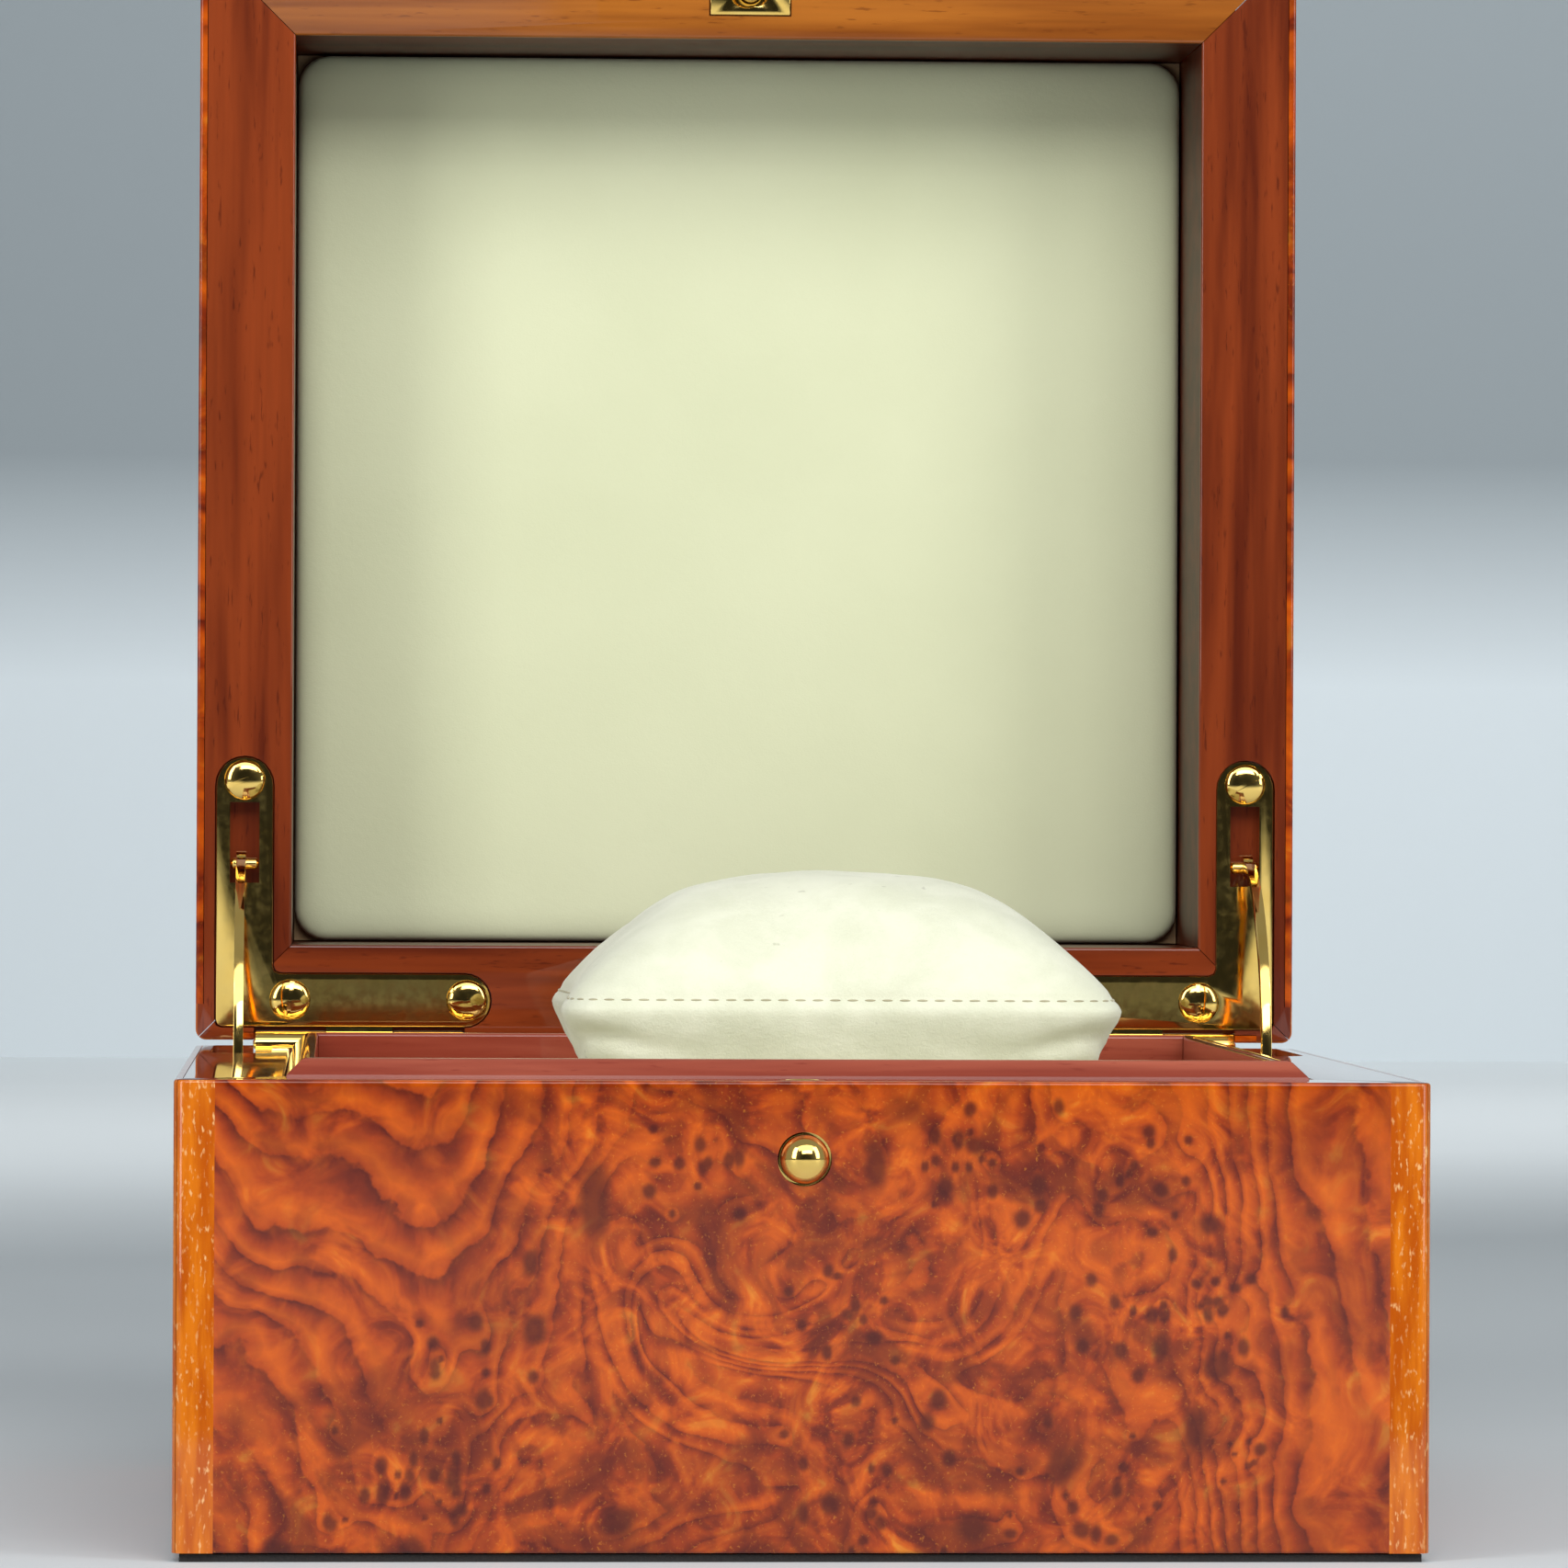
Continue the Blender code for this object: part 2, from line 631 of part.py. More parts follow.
    origin = (0, AXIS_Y + arm_pivot[0], AXIS_Z + arm_pivot[1])
    x0, x1 = along((ARM_OFFSET - ARM_THICK / 2, ARM_OFFSET + ARM_THICK / 2))
    band = [(AXIS_Y + y, AXIS_Z + z) for y, z in arm_band(ARM_HALF)]
    arm = bpy.data.objects.new(f"{label}_arm", mesh_from(f"{label}_arm", [prism(band, x0, x1, "X")], origin))
    bpy.context.collection.objects.link(arm)
    arm.data.materials.append(brass)
    arm.location = origin
    join(arm, [prism(circle(origin[1:], 1.9 * MM, 28), x0, x1, "X")], f"{label}_arm_eye")
    last = arm_start + arm_sweep - 1.0 * MM / ARM_RADIUS
    tip = (AXIS_Y + arm_centre[0] + ARM_RADIUS * cos(last), AXIS_Z + arm_centre[1] + ARM_RADIUS * sin(last))
    bar = along((LEG_MIDDLE - 2.8 * MM, LEG_MIDDLE + 2.8 * MM))
    join(arm, [prism(circle(tip, 0.9 * MM, 20), *bar, "X")], f"{label}_arm_stop")
    cut(arm, [prism(circle(origin[1:], 1.0 * MM, 24), x0 - MM, x1 + MM, "X")], f"{label}_arm_hole")

    reach = SLOT_WIDTH - 0.2 * MM
    pin_at = (sign * (SIDE - LEG_MIDDLE) - reach / 2, AXIS_Y - ARM_PIVOT, AXIS_Z + LEAF_TOP + LEAF / 2)
    solid(f"{label}_arm_pin", [
        revolve(
            [(0, 0), (0, 0.5 * MM), (0.25 * MM, 0.8 * MM), (0.4 * MM, 0.9 * MM),
             (reach - 0.4 * MM, 0.9 * MM), (reach - 0.25 * MM, 0.8 * MM), (reach, 0.5 * MM), (reach, 0)],
            pin_at, "X", 20)
    ], brass, lid_axis)


hinge("right", 1)
hinge("left", -1)

# ---- catch ----

catch_y = FRONT + CATCH_IN
case_low, case_high = BASE_HEIGHT - 16.8 * MM, BASE_HEIGHT - 3.6 * MM
case_front, case_back = FRONT + 4.3 * MM, FRONT + WALL - 0.2 * MM
case_half = 7.8 * MM
case_wall = 1.2 * MM
front_wall = base_walls["front"]
cut(front_wall, [
    box((-case_half - 0.2 * MM, case_front - 0.15 * MM, case_low - 0.2 * MM),
        (case_half + 0.2 * MM, FRONT + WALL + MM, case_high + 0.15 * MM))
], "case_pocket")
bore = prism(circle((0, BUTTON_Z), BUTTON_RADIUS + FIT_GAP, 32), FRONT - MM, case_front, "Y")
cut(front_wall, [bore], "button_bore")
cut(base_burls["front"], [bore], "button_burl_bore")
bush_hole = prism(circle((0, catch_y), 3.3 * MM, 32), case_high - MM, BASE_HEIGHT + MM)
cut(front_wall, [bush_hole], "bush_hole")

case = solid("lock_case", [
    box((-case_half, case_front, case_low), (case_half, case_back, case_high))
], brass)
cut(case, [
    box((-case_half + case_wall, case_front + case_wall, case_low + case_wall),
        (case_half - case_wall, case_back - case_wall, case_high - case_wall))
], "case_inside")
cut(case, [
    prism(circle((0, BUTTON_Z), 2.6 * MM, 28), case_front - MM, case_front + 2 * MM, "Y"),
    prism(circle((0, catch_y), 2.3 * MM, 28), case_high - 2 * MM, case_high + MM),
], "case_holes")

solid("rim_bush", [
    ring(circle((0, catch_y), 3.2 * MM), circle((0, catch_y), 2.0 * MM), case_high + 0.15 * MM, BASE_HEIGHT)
], brass)

button_origin = (0, FRONT, BUTTON_Z)
dome = [(-BUTTON_PROUD, 0)]
for k in range(1, 8):
    t = pi / 2 * k / 7
    dome.append((-BUTTON_PROUD + 1.9 * MM * (1 - cos(t)), BUTTON_RADIUS * sin(t)))
plate_front = CATCH_IN + STUD_RADIUS + FIT_GAP
solid("push_button", [
    revolve(dome + [(1.6 * MM, BUTTON_RADIUS), (1.6 * MM, 2.3 * MM),
                    (plate_front - GLUE_GAP, 2.3 * MM), (plate_front - GLUE_GAP, 0)],
            button_origin, "Y", 40)
], brass, None, button_origin)
solid("latch_plate", [
    box((-3.5 * MM, FRONT + plate_front, BUTTON_Z - 2.5 * MM),
        (3.5 * MM, FRONT + plate_front + 1.2 * MM, BASE_HEIGHT - 5.2 * MM))
], brass, None, button_origin)

stud_hole = prism(circle((0, catch_y), STUD_RADIUS + 0.15 * MM, 28), LID_LOW - MM, LID_LOW + 6.4 * MM)
plate_low, plate_high = LID_LOW, LID_LOW + 1.0 * MM
lid_front = lid_walls["front"]
cut(lid_front, [
    box((-6.2 * MM, catch_y - 3.7 * MM, LID_LOW - MM), (6.2 * MM, catch_y + 3.7 * MM, plate_high + 0.2 * MM))
], "strike_bed")
cut(lid_front, [stud_hole], "strike_hole")
strike = solid("strike_plate", [
    box((-6.0 * MM, catch_y - 3.5 * MM, plate_low), (6.0 * MM, catch_y + 3.5 * MM, plate_high))
], brass, lid_axis)
cut(strike, [stud_hole], "strike_plate_hole")
solid("strike_stud", [
    revolve([(-STUD_DROP, 0), (-STUD_DROP, 1.1 * MM), (-STUD_DROP + 0.6 * MM, STUD_RADIUS),
             (-STUD_DROP + 1.6 * MM, STUD_RADIUS), (-STUD_DROP + 1.6 * MM, 1.2 * MM),
             (-STUD_DROP + 2.8 * MM, 1.2 * MM), (-STUD_DROP + 2.8 * MM, STUD_RADIUS),
             (6.0 * MM, STUD_RADIUS), (6.0 * MM, 0)],
            (0, catch_y, LID_LOW), "Z", 28)
], brass, lid_axis)
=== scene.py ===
import json
from math import asin, cos, pi, radians, sin, sqrt

import bmesh
import bpy
import numpy as np
from mathutils import Matrix, Vector


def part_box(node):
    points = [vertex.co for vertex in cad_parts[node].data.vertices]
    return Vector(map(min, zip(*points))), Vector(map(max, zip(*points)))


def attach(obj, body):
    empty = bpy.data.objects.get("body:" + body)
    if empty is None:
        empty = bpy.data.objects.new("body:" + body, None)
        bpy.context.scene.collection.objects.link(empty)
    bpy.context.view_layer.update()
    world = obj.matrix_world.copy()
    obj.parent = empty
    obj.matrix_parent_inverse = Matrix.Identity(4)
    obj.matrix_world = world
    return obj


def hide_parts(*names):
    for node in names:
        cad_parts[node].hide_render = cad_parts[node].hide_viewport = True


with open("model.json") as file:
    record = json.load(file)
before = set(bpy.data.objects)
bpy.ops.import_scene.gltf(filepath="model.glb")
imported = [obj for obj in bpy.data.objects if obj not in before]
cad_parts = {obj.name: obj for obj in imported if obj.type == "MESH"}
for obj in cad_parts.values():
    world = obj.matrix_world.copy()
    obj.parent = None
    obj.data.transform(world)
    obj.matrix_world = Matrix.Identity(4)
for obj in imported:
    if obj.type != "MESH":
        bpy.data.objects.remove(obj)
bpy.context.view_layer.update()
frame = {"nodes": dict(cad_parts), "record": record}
mm = 0.001


def report(words):
    print("watch box:", words)



class Wire:
    # one socket, with sums written as plain Python
    def __init__(self, paint, socket):
        self.paint, self.socket = paint, socket

    def maths(self, operation, first, second=0.0):
        return self.paint.node("ShaderNodeMath", {"operation": operation}, {0: first, 1: second})

    def __add__(self, other): return self.maths("ADD", self, other)
    def __radd__(self, other): return self.maths("ADD", other, self)
    def __sub__(self, other): return self.maths("SUBTRACT", self, other)
    def __rsub__(self, other): return self.maths("SUBTRACT", other, self)
    def __mul__(self, other): return self.maths("MULTIPLY", self, other)
    def __rmul__(self, other): return self.maths("MULTIPLY", other, self)
    def __truediv__(self, other): return self.maths("DIVIDE", self, other)
    def __rtruediv__(self, other): return self.maths("DIVIDE", other, self)
    def __pow__(self, other): return self.maths("POWER", self, other)
    def fract(self): return self.maths("FRACT", self)
    def clamp(self): return self.paint.node("ShaderNodeClamp", {}, {"Value": self})


class Paint:
    # one material and the nodes that colour it
    def __init__(self, name, fixed):
        self.material = bpy.data.materials.new(name)
        self.material.use_nodes = True
        self.tree = self.material.node_tree
        self.shader = self.tree.nodes["Principled BSDF"]
        for socket, value in fixed.items():
            self.shader.inputs[socket].default_value = value
        self.bumps = None

    def node(self, kind, settings, sockets, output=0):
        made = self.tree.nodes.new(kind)
        stops = settings.get("stops")
        for key, value in settings.items():
            if key != "stops":
                setattr(made, key, value)
        if stops:
            ramp = made.color_ramp.elements
            while len(ramp) < len(stops):
                ramp.new(0.5)
            for element, (place, colour) in zip(ramp, stops):
                element.position = place
                element.color = (*colour, 1)
        for key, value in sockets.items():
            if isinstance(value, Wire):
                self.tree.links.new(value.socket, made.inputs[key])
            else:
                made.inputs[key].default_value = value
        return Wire(self, made.outputs[output])

    def place(self, stretch=(1, 1, 1), shift=(0, 0, 0)):
        # object coordinates in millimetres, stretched along the grain
        where = self.node("ShaderNodeTexCoord", {}, {}, "Object")
        scale = [1000 * s for s in stretch]
        return self.node("ShaderNodeMapping", {}, {"Vector": where, "Scale": scale, "Location": shift})

    def noise(self, where, size, detail=2.0, roughness=0.5, distortion=0.0):
        return self.node("ShaderNodeTexNoise", {"noise_dimensions": "3D"}, {
            "Vector": where, "Scale": 1.0 / size, "Detail": detail,
            "Roughness": roughness, "Distortion": distortion})

    def attribute(self, name):
        return self.node("ShaderNodeAttribute", {"attribute_name": name}, {}, "Fac")

    def ramp(self, value, stops, interpolation="LINEAR"):
        made = self.node("ShaderNodeValToRGB", {"stops": stops}, {0: value})
        made.socket.node.color_ramp.interpolation = interpolation
        return made

    def between(self, value, low, high, toLow=0.0, toHigh=1.0):
        return self.node("ShaderNodeMapRange", {"interpolation_type": "SMOOTHSTEP"}, {
            "Value": value, "From Min": low, "From Max": high, "To Min": toLow, "To Max": toHigh})

    def mix(self, share, first, second, blend="MIX"):
        settings = {"data_type": "RGBA", "blend_type": blend}
        def colour(c):
            return c if isinstance(c, Wire) else (*c, 1)
        return self.node("ShaderNodeMix", settings, {0: share, 6: colour(first), 7: colour(second)}, 2)

    def bump(self, height, strength, distance):
        sockets = {"Height": height, "Strength": strength, "Distance": distance}
        if self.bumps is not None:
            sockets["Normal"] = self.bumps
        self.bumps = self.node("ShaderNodeBump", {}, sockets)

    def finish(self, **links):
        for socket, wire in links.items():
            self.tree.links.new(wire.socket, self.shader.inputs[socket.replace("_", " ")])
        if self.bumps is not None:
            self.tree.links.new(self.bumps.socket, self.shader.inputs["Normal"])
        return self.material


def srgb(red, green, blue):
    def line(c):
        c /= 255
        return c / 12.92 if c < 0.04045 else ((c + 0.055) / 1.055) ** 2.4
    return (line(red), line(green), line(blue))


lacquer = {"Coat Weight": 0.8, "Coat Roughness": 0.03, "Coat IOR": 1.45, "Specular IOR Level": 0.12}

burlLook = {
    "light": srgb(200, 88, 0), "middle": srgb(164, 60, 0), "deep": srgb(116, 32, 0),
    "line": srgb(84, 18, 0), "eye": srgb(66, 8, 0), "gold": srgb(216, 134, 34),
    "ringSpacing": 7.4, "cloudSize": 18.0,
}


def burlMaterial():
    look = burlLook
    paint = Paint("burl veneer", {**lacquer, "Roughness": 0.32})
    where = paint.place()
    figure, eyes, busy = (paint.attribute(n) for n in ("figure", "eyes", "busy"))
    fine = paint.noise(where, 3.0, 3, 0.55) - 0.5
    fibres = paint.noise(where, 0.55, 3, 0.65, 0.6)
    cloud = paint.noise(where, look["cloudSize"], 3, 0.5, 1.6)
    wisps = paint.noise(where, 9.0, 3, 0.5, 2.4)
    rings = (figure / look["ringSpacing"] + fine * 0.45).fract()
    body = paint.ramp(rings, [
        (0.0, look["line"]), (0.06, look["middle"]), (0.30, look["light"]), (0.60, look["middle"]),
        (0.86, look["deep"]), (0.97, look["line"]), (1.0, look["line"])])
    plain = paint.ramp(wisps, [
        (0.25, look["line"]), (0.40, look["deep"]), (0.50, look["middle"]), (0.62, look["light"]),
        (0.75, look["gold"])])
    calm = paint.between(paint.noise(where, 9.0, 2), 0.35, 0.68)
    colour = paint.mix((calm * 0.45 + busy * 0.25 + 0.12).clamp(), body, plain)
    shade = paint.between(cloud, 0.36, 0.56)
    colour = paint.mix((1 - shade) * (busy * 0.45 + 0.25), colour, look["line"])
    glow = paint.between(cloud, 0.55, 0.72) * 0.45
    colour = paint.mix(glow, colour, look["light"])
    gold = paint.between(fibres, 0.56, 0.78) * busy * 0.45
    colour = paint.mix(gold.clamp(), colour, look["gold"])
    colour = paint.mix(paint.between(eyes, 0.05, 0.95) * 0.80, colour, look["eye"])
    paint.bump(fibres, 0.02, 0.00002)
    return paint.finish(Base_Color=colour)


bandLook = {"ground": srgb(208, 112, 14), "dark": srgb(176, 78, 2), "streak": srgb(228, 178, 118)}


def bandMaterial():
    look = bandLook
    paint = Paint("corner banding", {**lacquer, "Roughness": 0.3})
    long = paint.place((1, 1, 0.12))
    short = paint.place((1, 1, 0.35), (3, 7, 0))
    ground = paint.mix(paint.between(paint.noise(long, 1.6, 3), 0.35, 0.7), look["dark"], look["ground"])
    dashes = paint.between(paint.noise(short, 0.5, 2, 0.5), 0.56, 0.72)
    patches = paint.between(paint.noise(paint.place((1, 1, 0.5)), 7.0, 2), 0.40, 0.62)
    colour = paint.mix((dashes * 0.35 + patches * dashes * 0.55).clamp(), ground, look["streak"])
    return paint.finish(Base_Color=colour)


woodLook = {"light": srgb(156, 68, 26), "middle": srgb(124, 46, 14), "dark": srgb(72, 20, 4)}
# painted shade: a darker, unlacquered copy of the mahogany for the lid's inner walls, standing in for the
# shadow inside the recess
shadedRecessLook = {"light": srgb(96, 38, 16), "middle": srgb(76, 26, 10), "dark": srgb(44, 12, 4)}


def woodMaterial(name, along, look, gloss=1.0):
    # straight grain along one axis, with the soft ribbon that quarter-cut wood shows
    paint = Paint(name, {**lacquer, "Roughness": 0.3, "Coat Weight": gloss})
    stretch = [1.0, 1.0, 1.0]
    stretch[along] = 0.06
    grain = paint.place(stretch)
    pores = paint.place([0.22 if k == along else 1.6 for k in range(3)])
    ribbon = paint.noise(grain, 5.0, 3, 0.55, 0.3)
    threads = paint.noise(grain, 0.9, 4, 0.6)
    colour = paint.mix(paint.between(ribbon, 0.30, 0.70), look["dark"], look["light"])
    colour = paint.mix(0.45, colour, paint.mix(threads, look["dark"], look["middle"]))
    flecks = paint.between(paint.noise(pores, 0.8, 2), 0.62, 0.75) * 0.6
    colour = paint.mix(flecks, colour, look["dark"])
    return paint.finish(Base_Color=colour)


def brassMaterial(name, roughness=0.07):
    paint = Paint(name, {"Metallic": 1.0, "Roughness": roughness})
    where = paint.place()
    tone = paint.noise(where, 6.0, 2)
    colour = paint.mix(tone, srgb(232, 186, 88), srgb(246, 214, 130))
    rough = paint.between(paint.noise(where, 1.5, 3), 0.3, 0.8, roughness * 0.7, roughness * 1.8)
    paint.bump(paint.noise(where, 3.0, 1), 0.05, 0.00005)
    return paint.finish(Base_Color=colour, Roughness=rough)


def suedeMaterial(name, light, dark, nap=1.0):
    # short nap: brushed patches, fine pile and a few specks
    paint = Paint(name, {"Roughness": 0.95, "Sheen Weight": 0.35, "Sheen Roughness": 0.5})
    where = paint.place()
    brushed = paint.noise(where, 9.0, 3, 0.55, 0.4)
    pile = paint.noise(where, 0.28, 3, 0.7)
    crumbs = paint.noise(where, 0.9, 3, 0.6)
    colour = paint.mix(paint.between(brushed, 0.3, 0.7), dark, light)
    colour = paint.mix(paint.between(pile, 0.3, 0.75) * 0.35, colour, light)
    specks = paint.between(paint.noise(where, 2.6, 2, 0.5), 0.735, 0.80) * 0.4
    colour = paint.mix(specks, colour, srgb(150, 148, 120))
    paint.bump(crumbs, 0.35 * nap, 0.00025)
    paint.bump(pile, 0.5 * nap, 0.00018)
    return paint.finish(Base_Color=colour)


def satinMaterial():
    paint = Paint("lid cloth", {"Roughness": 0.7, "Sheen Weight": 0.25, "Sheen Roughness": 0.4})
    where = paint.place()
    weave = paint.noise(where, 0.22, 2, 0.6)
    cloud = paint.noise(where, 34.0, 2, 0.5)
    colour = paint.mix(cloud, srgb(206, 210, 172), srgb(219, 222, 186))
    paint.bump(paint.noise(where, 1.4, 3, 0.6), 0.12, 0.0003)
    paint.bump(weave, 0.25, 0.00008)
    return paint.finish(Base_Color=colour)


def feltMaterial():
    paint = Paint("felt", {"Roughness": 0.98})
    fuzz = paint.noise(paint.place(), 0.5, 4, 0.7)
    paint.bump(fuzz, 0.8, 0.0003)
    return paint.finish(Base_Color=paint.mix(fuzz, srgb(22, 20, 20), srgb(58, 54, 52)))


def boardMaterial(name, light, dark, size):
    paint = Paint(name, {"Roughness": 0.85})
    fibre = paint.noise(paint.place(), size, 4, 0.6)
    paint.bump(fibre, 0.3, 0.0002)
    return paint.finish(Base_Color=paint.mix(fibre, dark, light))


linerLook = {"light": srgb(190, 104, 78), "middle": srgb(164, 74, 50), "dark": srgb(122, 42, 26)}
# painted light: a lighter copy of the mahogany for the lid's front rail, standing in for how the lamps light
# that rail
litFrontRailLook = {"light": srgb(194, 118, 40), "middle": srgb(164, 88, 22), "dark": srgb(108, 52, 10)}
burlPaint = burlMaterial()
bandPaint = bandMaterial()
woodPaints = [woodMaterial("mahogany along " + axis, k, woodLook) for k, axis in enumerate("xyz")]
linerPaints = [woodMaterial("liner wood along " + axis, k, linerLook) for k, axis in enumerate("xy")]
litRailPaint = woodMaterial("front rail painted lit", 0, litFrontRailLook)
shadedRecessPaint = woodMaterial("recess wood in painted shade", 0, shadedRecessLook, 0.0)
brassPaint = brassMaterial("polished brass")
pillowPaint = suedeMaterial("pillow suede", srgb(232, 233, 208), srgb(218, 220, 192))
traySuedePaint = suedeMaterial("tray suede", srgb(216, 214, 184), srgb(198, 196, 164))
# thread colour with painted shade: darker than the suede to stand in for the shadow in the stitch grooves
stitchThreadAndShadePaint = suedeMaterial("stitch thread and painted groove shade", srgb(196, 190, 158), srgb(168, 160, 128), 0.5)
satinPaint = satinMaterial()
feltPaint = feltMaterial()
boardPaint = boardMaterial("fibre board", srgb(158, 128, 92), srgb(120, 92, 62), 0.8)
foamPaint = boardMaterial("foam", srgb(92, 90, 88), srgb(58, 56, 54), 0.5)
report("materials ready")



nodes = frame["nodes"]
bodies = {n: b for b, names in frame["record"]["behaviour"]["bodies"].items() for n in names}


def linked(name, data):
    made = bpy.data.objects.new(name, data)
    bpy.context.collection.objects.link(made)
    return made


def addPiece(name, mesh, paints, replaced, smooth=True):
    # a finished piece at the origin, riding with the body of the nodes it stands for
    made = linked(name, mesh)
    mesh.materials.clear()
    for paint in paints:
        mesh.materials.append(paint)
    if smooth:
        mesh.shade_smooth()
    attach(made, bodies[replaced[0]])
    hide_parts(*replaced)
    return made


def meshFromBm(name, shape):
    mesh = bpy.data.meshes.new(name)
    bmesh.ops.recalc_face_normals(shape, faces=shape.faces)
    shape.to_mesh(mesh)
    shape.free()
    return mesh


def cadCopy(node):
    # a CAD node's mesh with its loose triangles joined and flat faces made whole
    shape = bmesh.new()
    shape.from_mesh(nodes[node].data)
    bmesh.ops.remove_doubles(shape, verts=shape.verts, dist=0.000002)
    bmesh.ops.dissolve_limit(shape, angle_limit=radians(0.6), verts=shape.verts, edges=shape.edges)
    return shape


def evaluated(made):
    graph = bpy.context.evaluated_depsgraph_get()
    mesh = bpy.data.meshes.new_from_object(made.evaluated_get(graph))
    old = made.data
    bpy.data.objects.remove(made, do_unlink=True)
    bpy.data.meshes.remove(old)
    return mesh


def bevelled(shape, width, segments, wanted):
    # rounds the edges that wanted() picks, and gives the finished mesh
    mesh = bpy.data.meshes.new("bevel")
    layer = shape.edges.layers.float.new("bevel_weight_edge")
    for edge in shape.edges:
        if len(edge.link_faces) == 2 and edge.calc_face_angle(0) > radians(30) and wanted(edge):
            edge[layer] = 1.0
    shape.to_mesh(mesh)
    shape.free()
    made = linked("bevel", mesh)
    step = made.modifiers.new("bevel", "BEVEL")
    step.limit_method, step.width, step.segments = "WEIGHT", width, segments
    step.harden_normals = False
    return evaluated(made)


def autoSmooth(mesh, angle=35):
    # smooth only across gentle edges
    shape = bmesh.new()
    shape.from_mesh(mesh)
    for face in shape.faces:
        face.smooth = True
    for edge in shape.edges:
        if len(edge.link_faces) == 2:
            edge.smooth = edge.calc_face_angle(0) < radians(angle)
    shape.to_mesh(mesh)
    shape.free()
    return mesh



burlPanels = {
    "step": 0.45, "edgeRound": 0.45,
}


def gradientNoise(u, v, size, seed):
    random = np.random.RandomState(seed)
    turns = random.rand(64, 64) * 2 * pi
    x, y = u / size + 17.3, v / size + 9.1
    x0, y0 = np.floor(x).astype(int), np.floor(y).astype(int)
    fx, fy = x - x0, y - y0
    def corner(dx, dy):
        t = turns[(x0 + dx) % 64, (y0 + dy) % 64]
        return np.cos(t) * (fx - dx) + np.sin(t) * (fy - dy)
    sx, sy = fx**3 * (fx * (6 * fx - 15) + 10), fy**3 * (fy * (6 * fy - 15) + 10)
    low = corner(0, 0) * (1 - sx) + corner(1, 0) * sx
    high = corner(0, 1) * (1 - sx) + corner(1, 1) * sx
    return low * (1 - sy) + high * sy


def smoothStep(value, low, high):
    t = np.clip((value - low) / (high - low), 0, 1)
    return t * t * (3 - 2 * t)


frontEyes = (
    # across, up, size, stretch
    (-43, 31.5, 1.3, 1.0), (-48.5, 28.7, 0.9, 1.2), (-35.3, 30.4, 1.9, 1.3), (-41.9, 21.3, 1.2, 1.6),
    (-55.4, 12.5, 0.9, 1.2), (-55.0, 9.0, 1.1, 1.8), (-49.6, 16.6, 0.7, 2.0), (-45.8, 11.0, 1.2, 1.6),
    (-40.2, 13.0, 0.7, 1.6), (-51.0, 13.5, 0.7, 2.0), (-61.8, 5.0, 1.2, 1.0), (-69, 1.5, 2.2, 0.9),
    (-51.3, 1.5, 2.4, 0.9), (-16.5, 52.2, 0.9, 1.2), (-13.7, 54.7, 0.9, 1.5), (-8.7, 53, 1.0, 1.7),
    (-19.6, 52.4, 1.0, 0.8), (-20.3, 48.6, 1.1, 1.0), (-35.8, 39.2, 1.3, 1.5), (-24.2, 5.5, 2.6, 0.9),
    (22.3, 54.6, 1.4, 1.0), (19.8, 55.4, 0.8, 1.2), (24.6, 52.4, 0.7, 1.0), (9.3, 51.8, 1.8, 2.0),
    (30.6, 49.6, 1.3, 1.4), (31.0, 46.8, 1.0, 1.2), (28.6, 45.0, 1.3, 1.2), (45.2, 56.5, 1.0, 1.1),
    (43.3, 52.1, 0.8, 1.0), (46.9, 48.8, 1.2, 1.0), (39.1, 48.2, 1.0, 1.1), (41.4, 50.0, 0.7, 1.4),
    (18.4, 49.1, 1.2, 1.4), (53.2, 44.4, 1.9, 0.8), (51.5, 36.6, 0.9, 0.9), (54.0, 36.9, 0.8, 0.9),
    (56.6, 36.0, 0.9, 0.9), (58.7, 37.2, 0.9, 1.0), (54.3, 34.2, 1.1, 0.8), (45.8, 32.5, 1.1, 1.3),
    (46.9, 28.1, 1.3, 2.0), (41.6, 27.8, 1.1, 1.2), (43.9, 24.5, 0.9, 1.3), (35.6, 32.8, 1.0, 1.4),
    (36.6, 28.4, 1.1, 1.1), (54.3, 25.6, 2.2, 1.0), (51.5, 17.3, 2.0, 1.7), (33.9, 12.6, 2.6, 1.4),
    (17.6, 21.4, 1.3, 1.2), (16.2, 18.4, 1.3, 1.1), (19.2, 13.7, 1.0, 1.4), (10.1, 5.2, 1.0, 1.3),
    (7.9, 2.9, 0.8, 1.0), (3.5, 7.6, 1.6, 1.0), (5.7, 32.5, 1.1, 0.9), (9.3, 29.5, 1.3, 0.8),
    (4.3, 37.5, 0.9, 0.7), (22.3, 4.5, 2.6, 1.0), (27.3, 3.8, 1.1, 0.7), (36.6, 4.3, 1.5, 0.9),
    (40.5, 3.0, 1.2, 0.8),
)
frontSwirls = (
    # across, up, reach, turns
    (-12, 40, 15, 0.30), (-4, 24, 13, -0.36), (12, 34, 12, 0.34), (30, 20, 14, -0.28),
    (-30, 12, 12, 0.30), (24, 42, 11, -0.25), (-58, 22, 16, 0.12), (58, 14, 12, 0.16),
)


frontClusters = (
    # across, up, reach, how many
    (-52, 11, 6, 18), (-44, 27, 4, 8), (50, 33, 6, 16), (24, 52, 6, 12), (44, 50, 4, 8), (34, 10, 7, 14),
    (8, 12, 7, 12), (4, 33, 5, 8), (-14, 50, 4, 8), (54, 14, 4, 8),
)


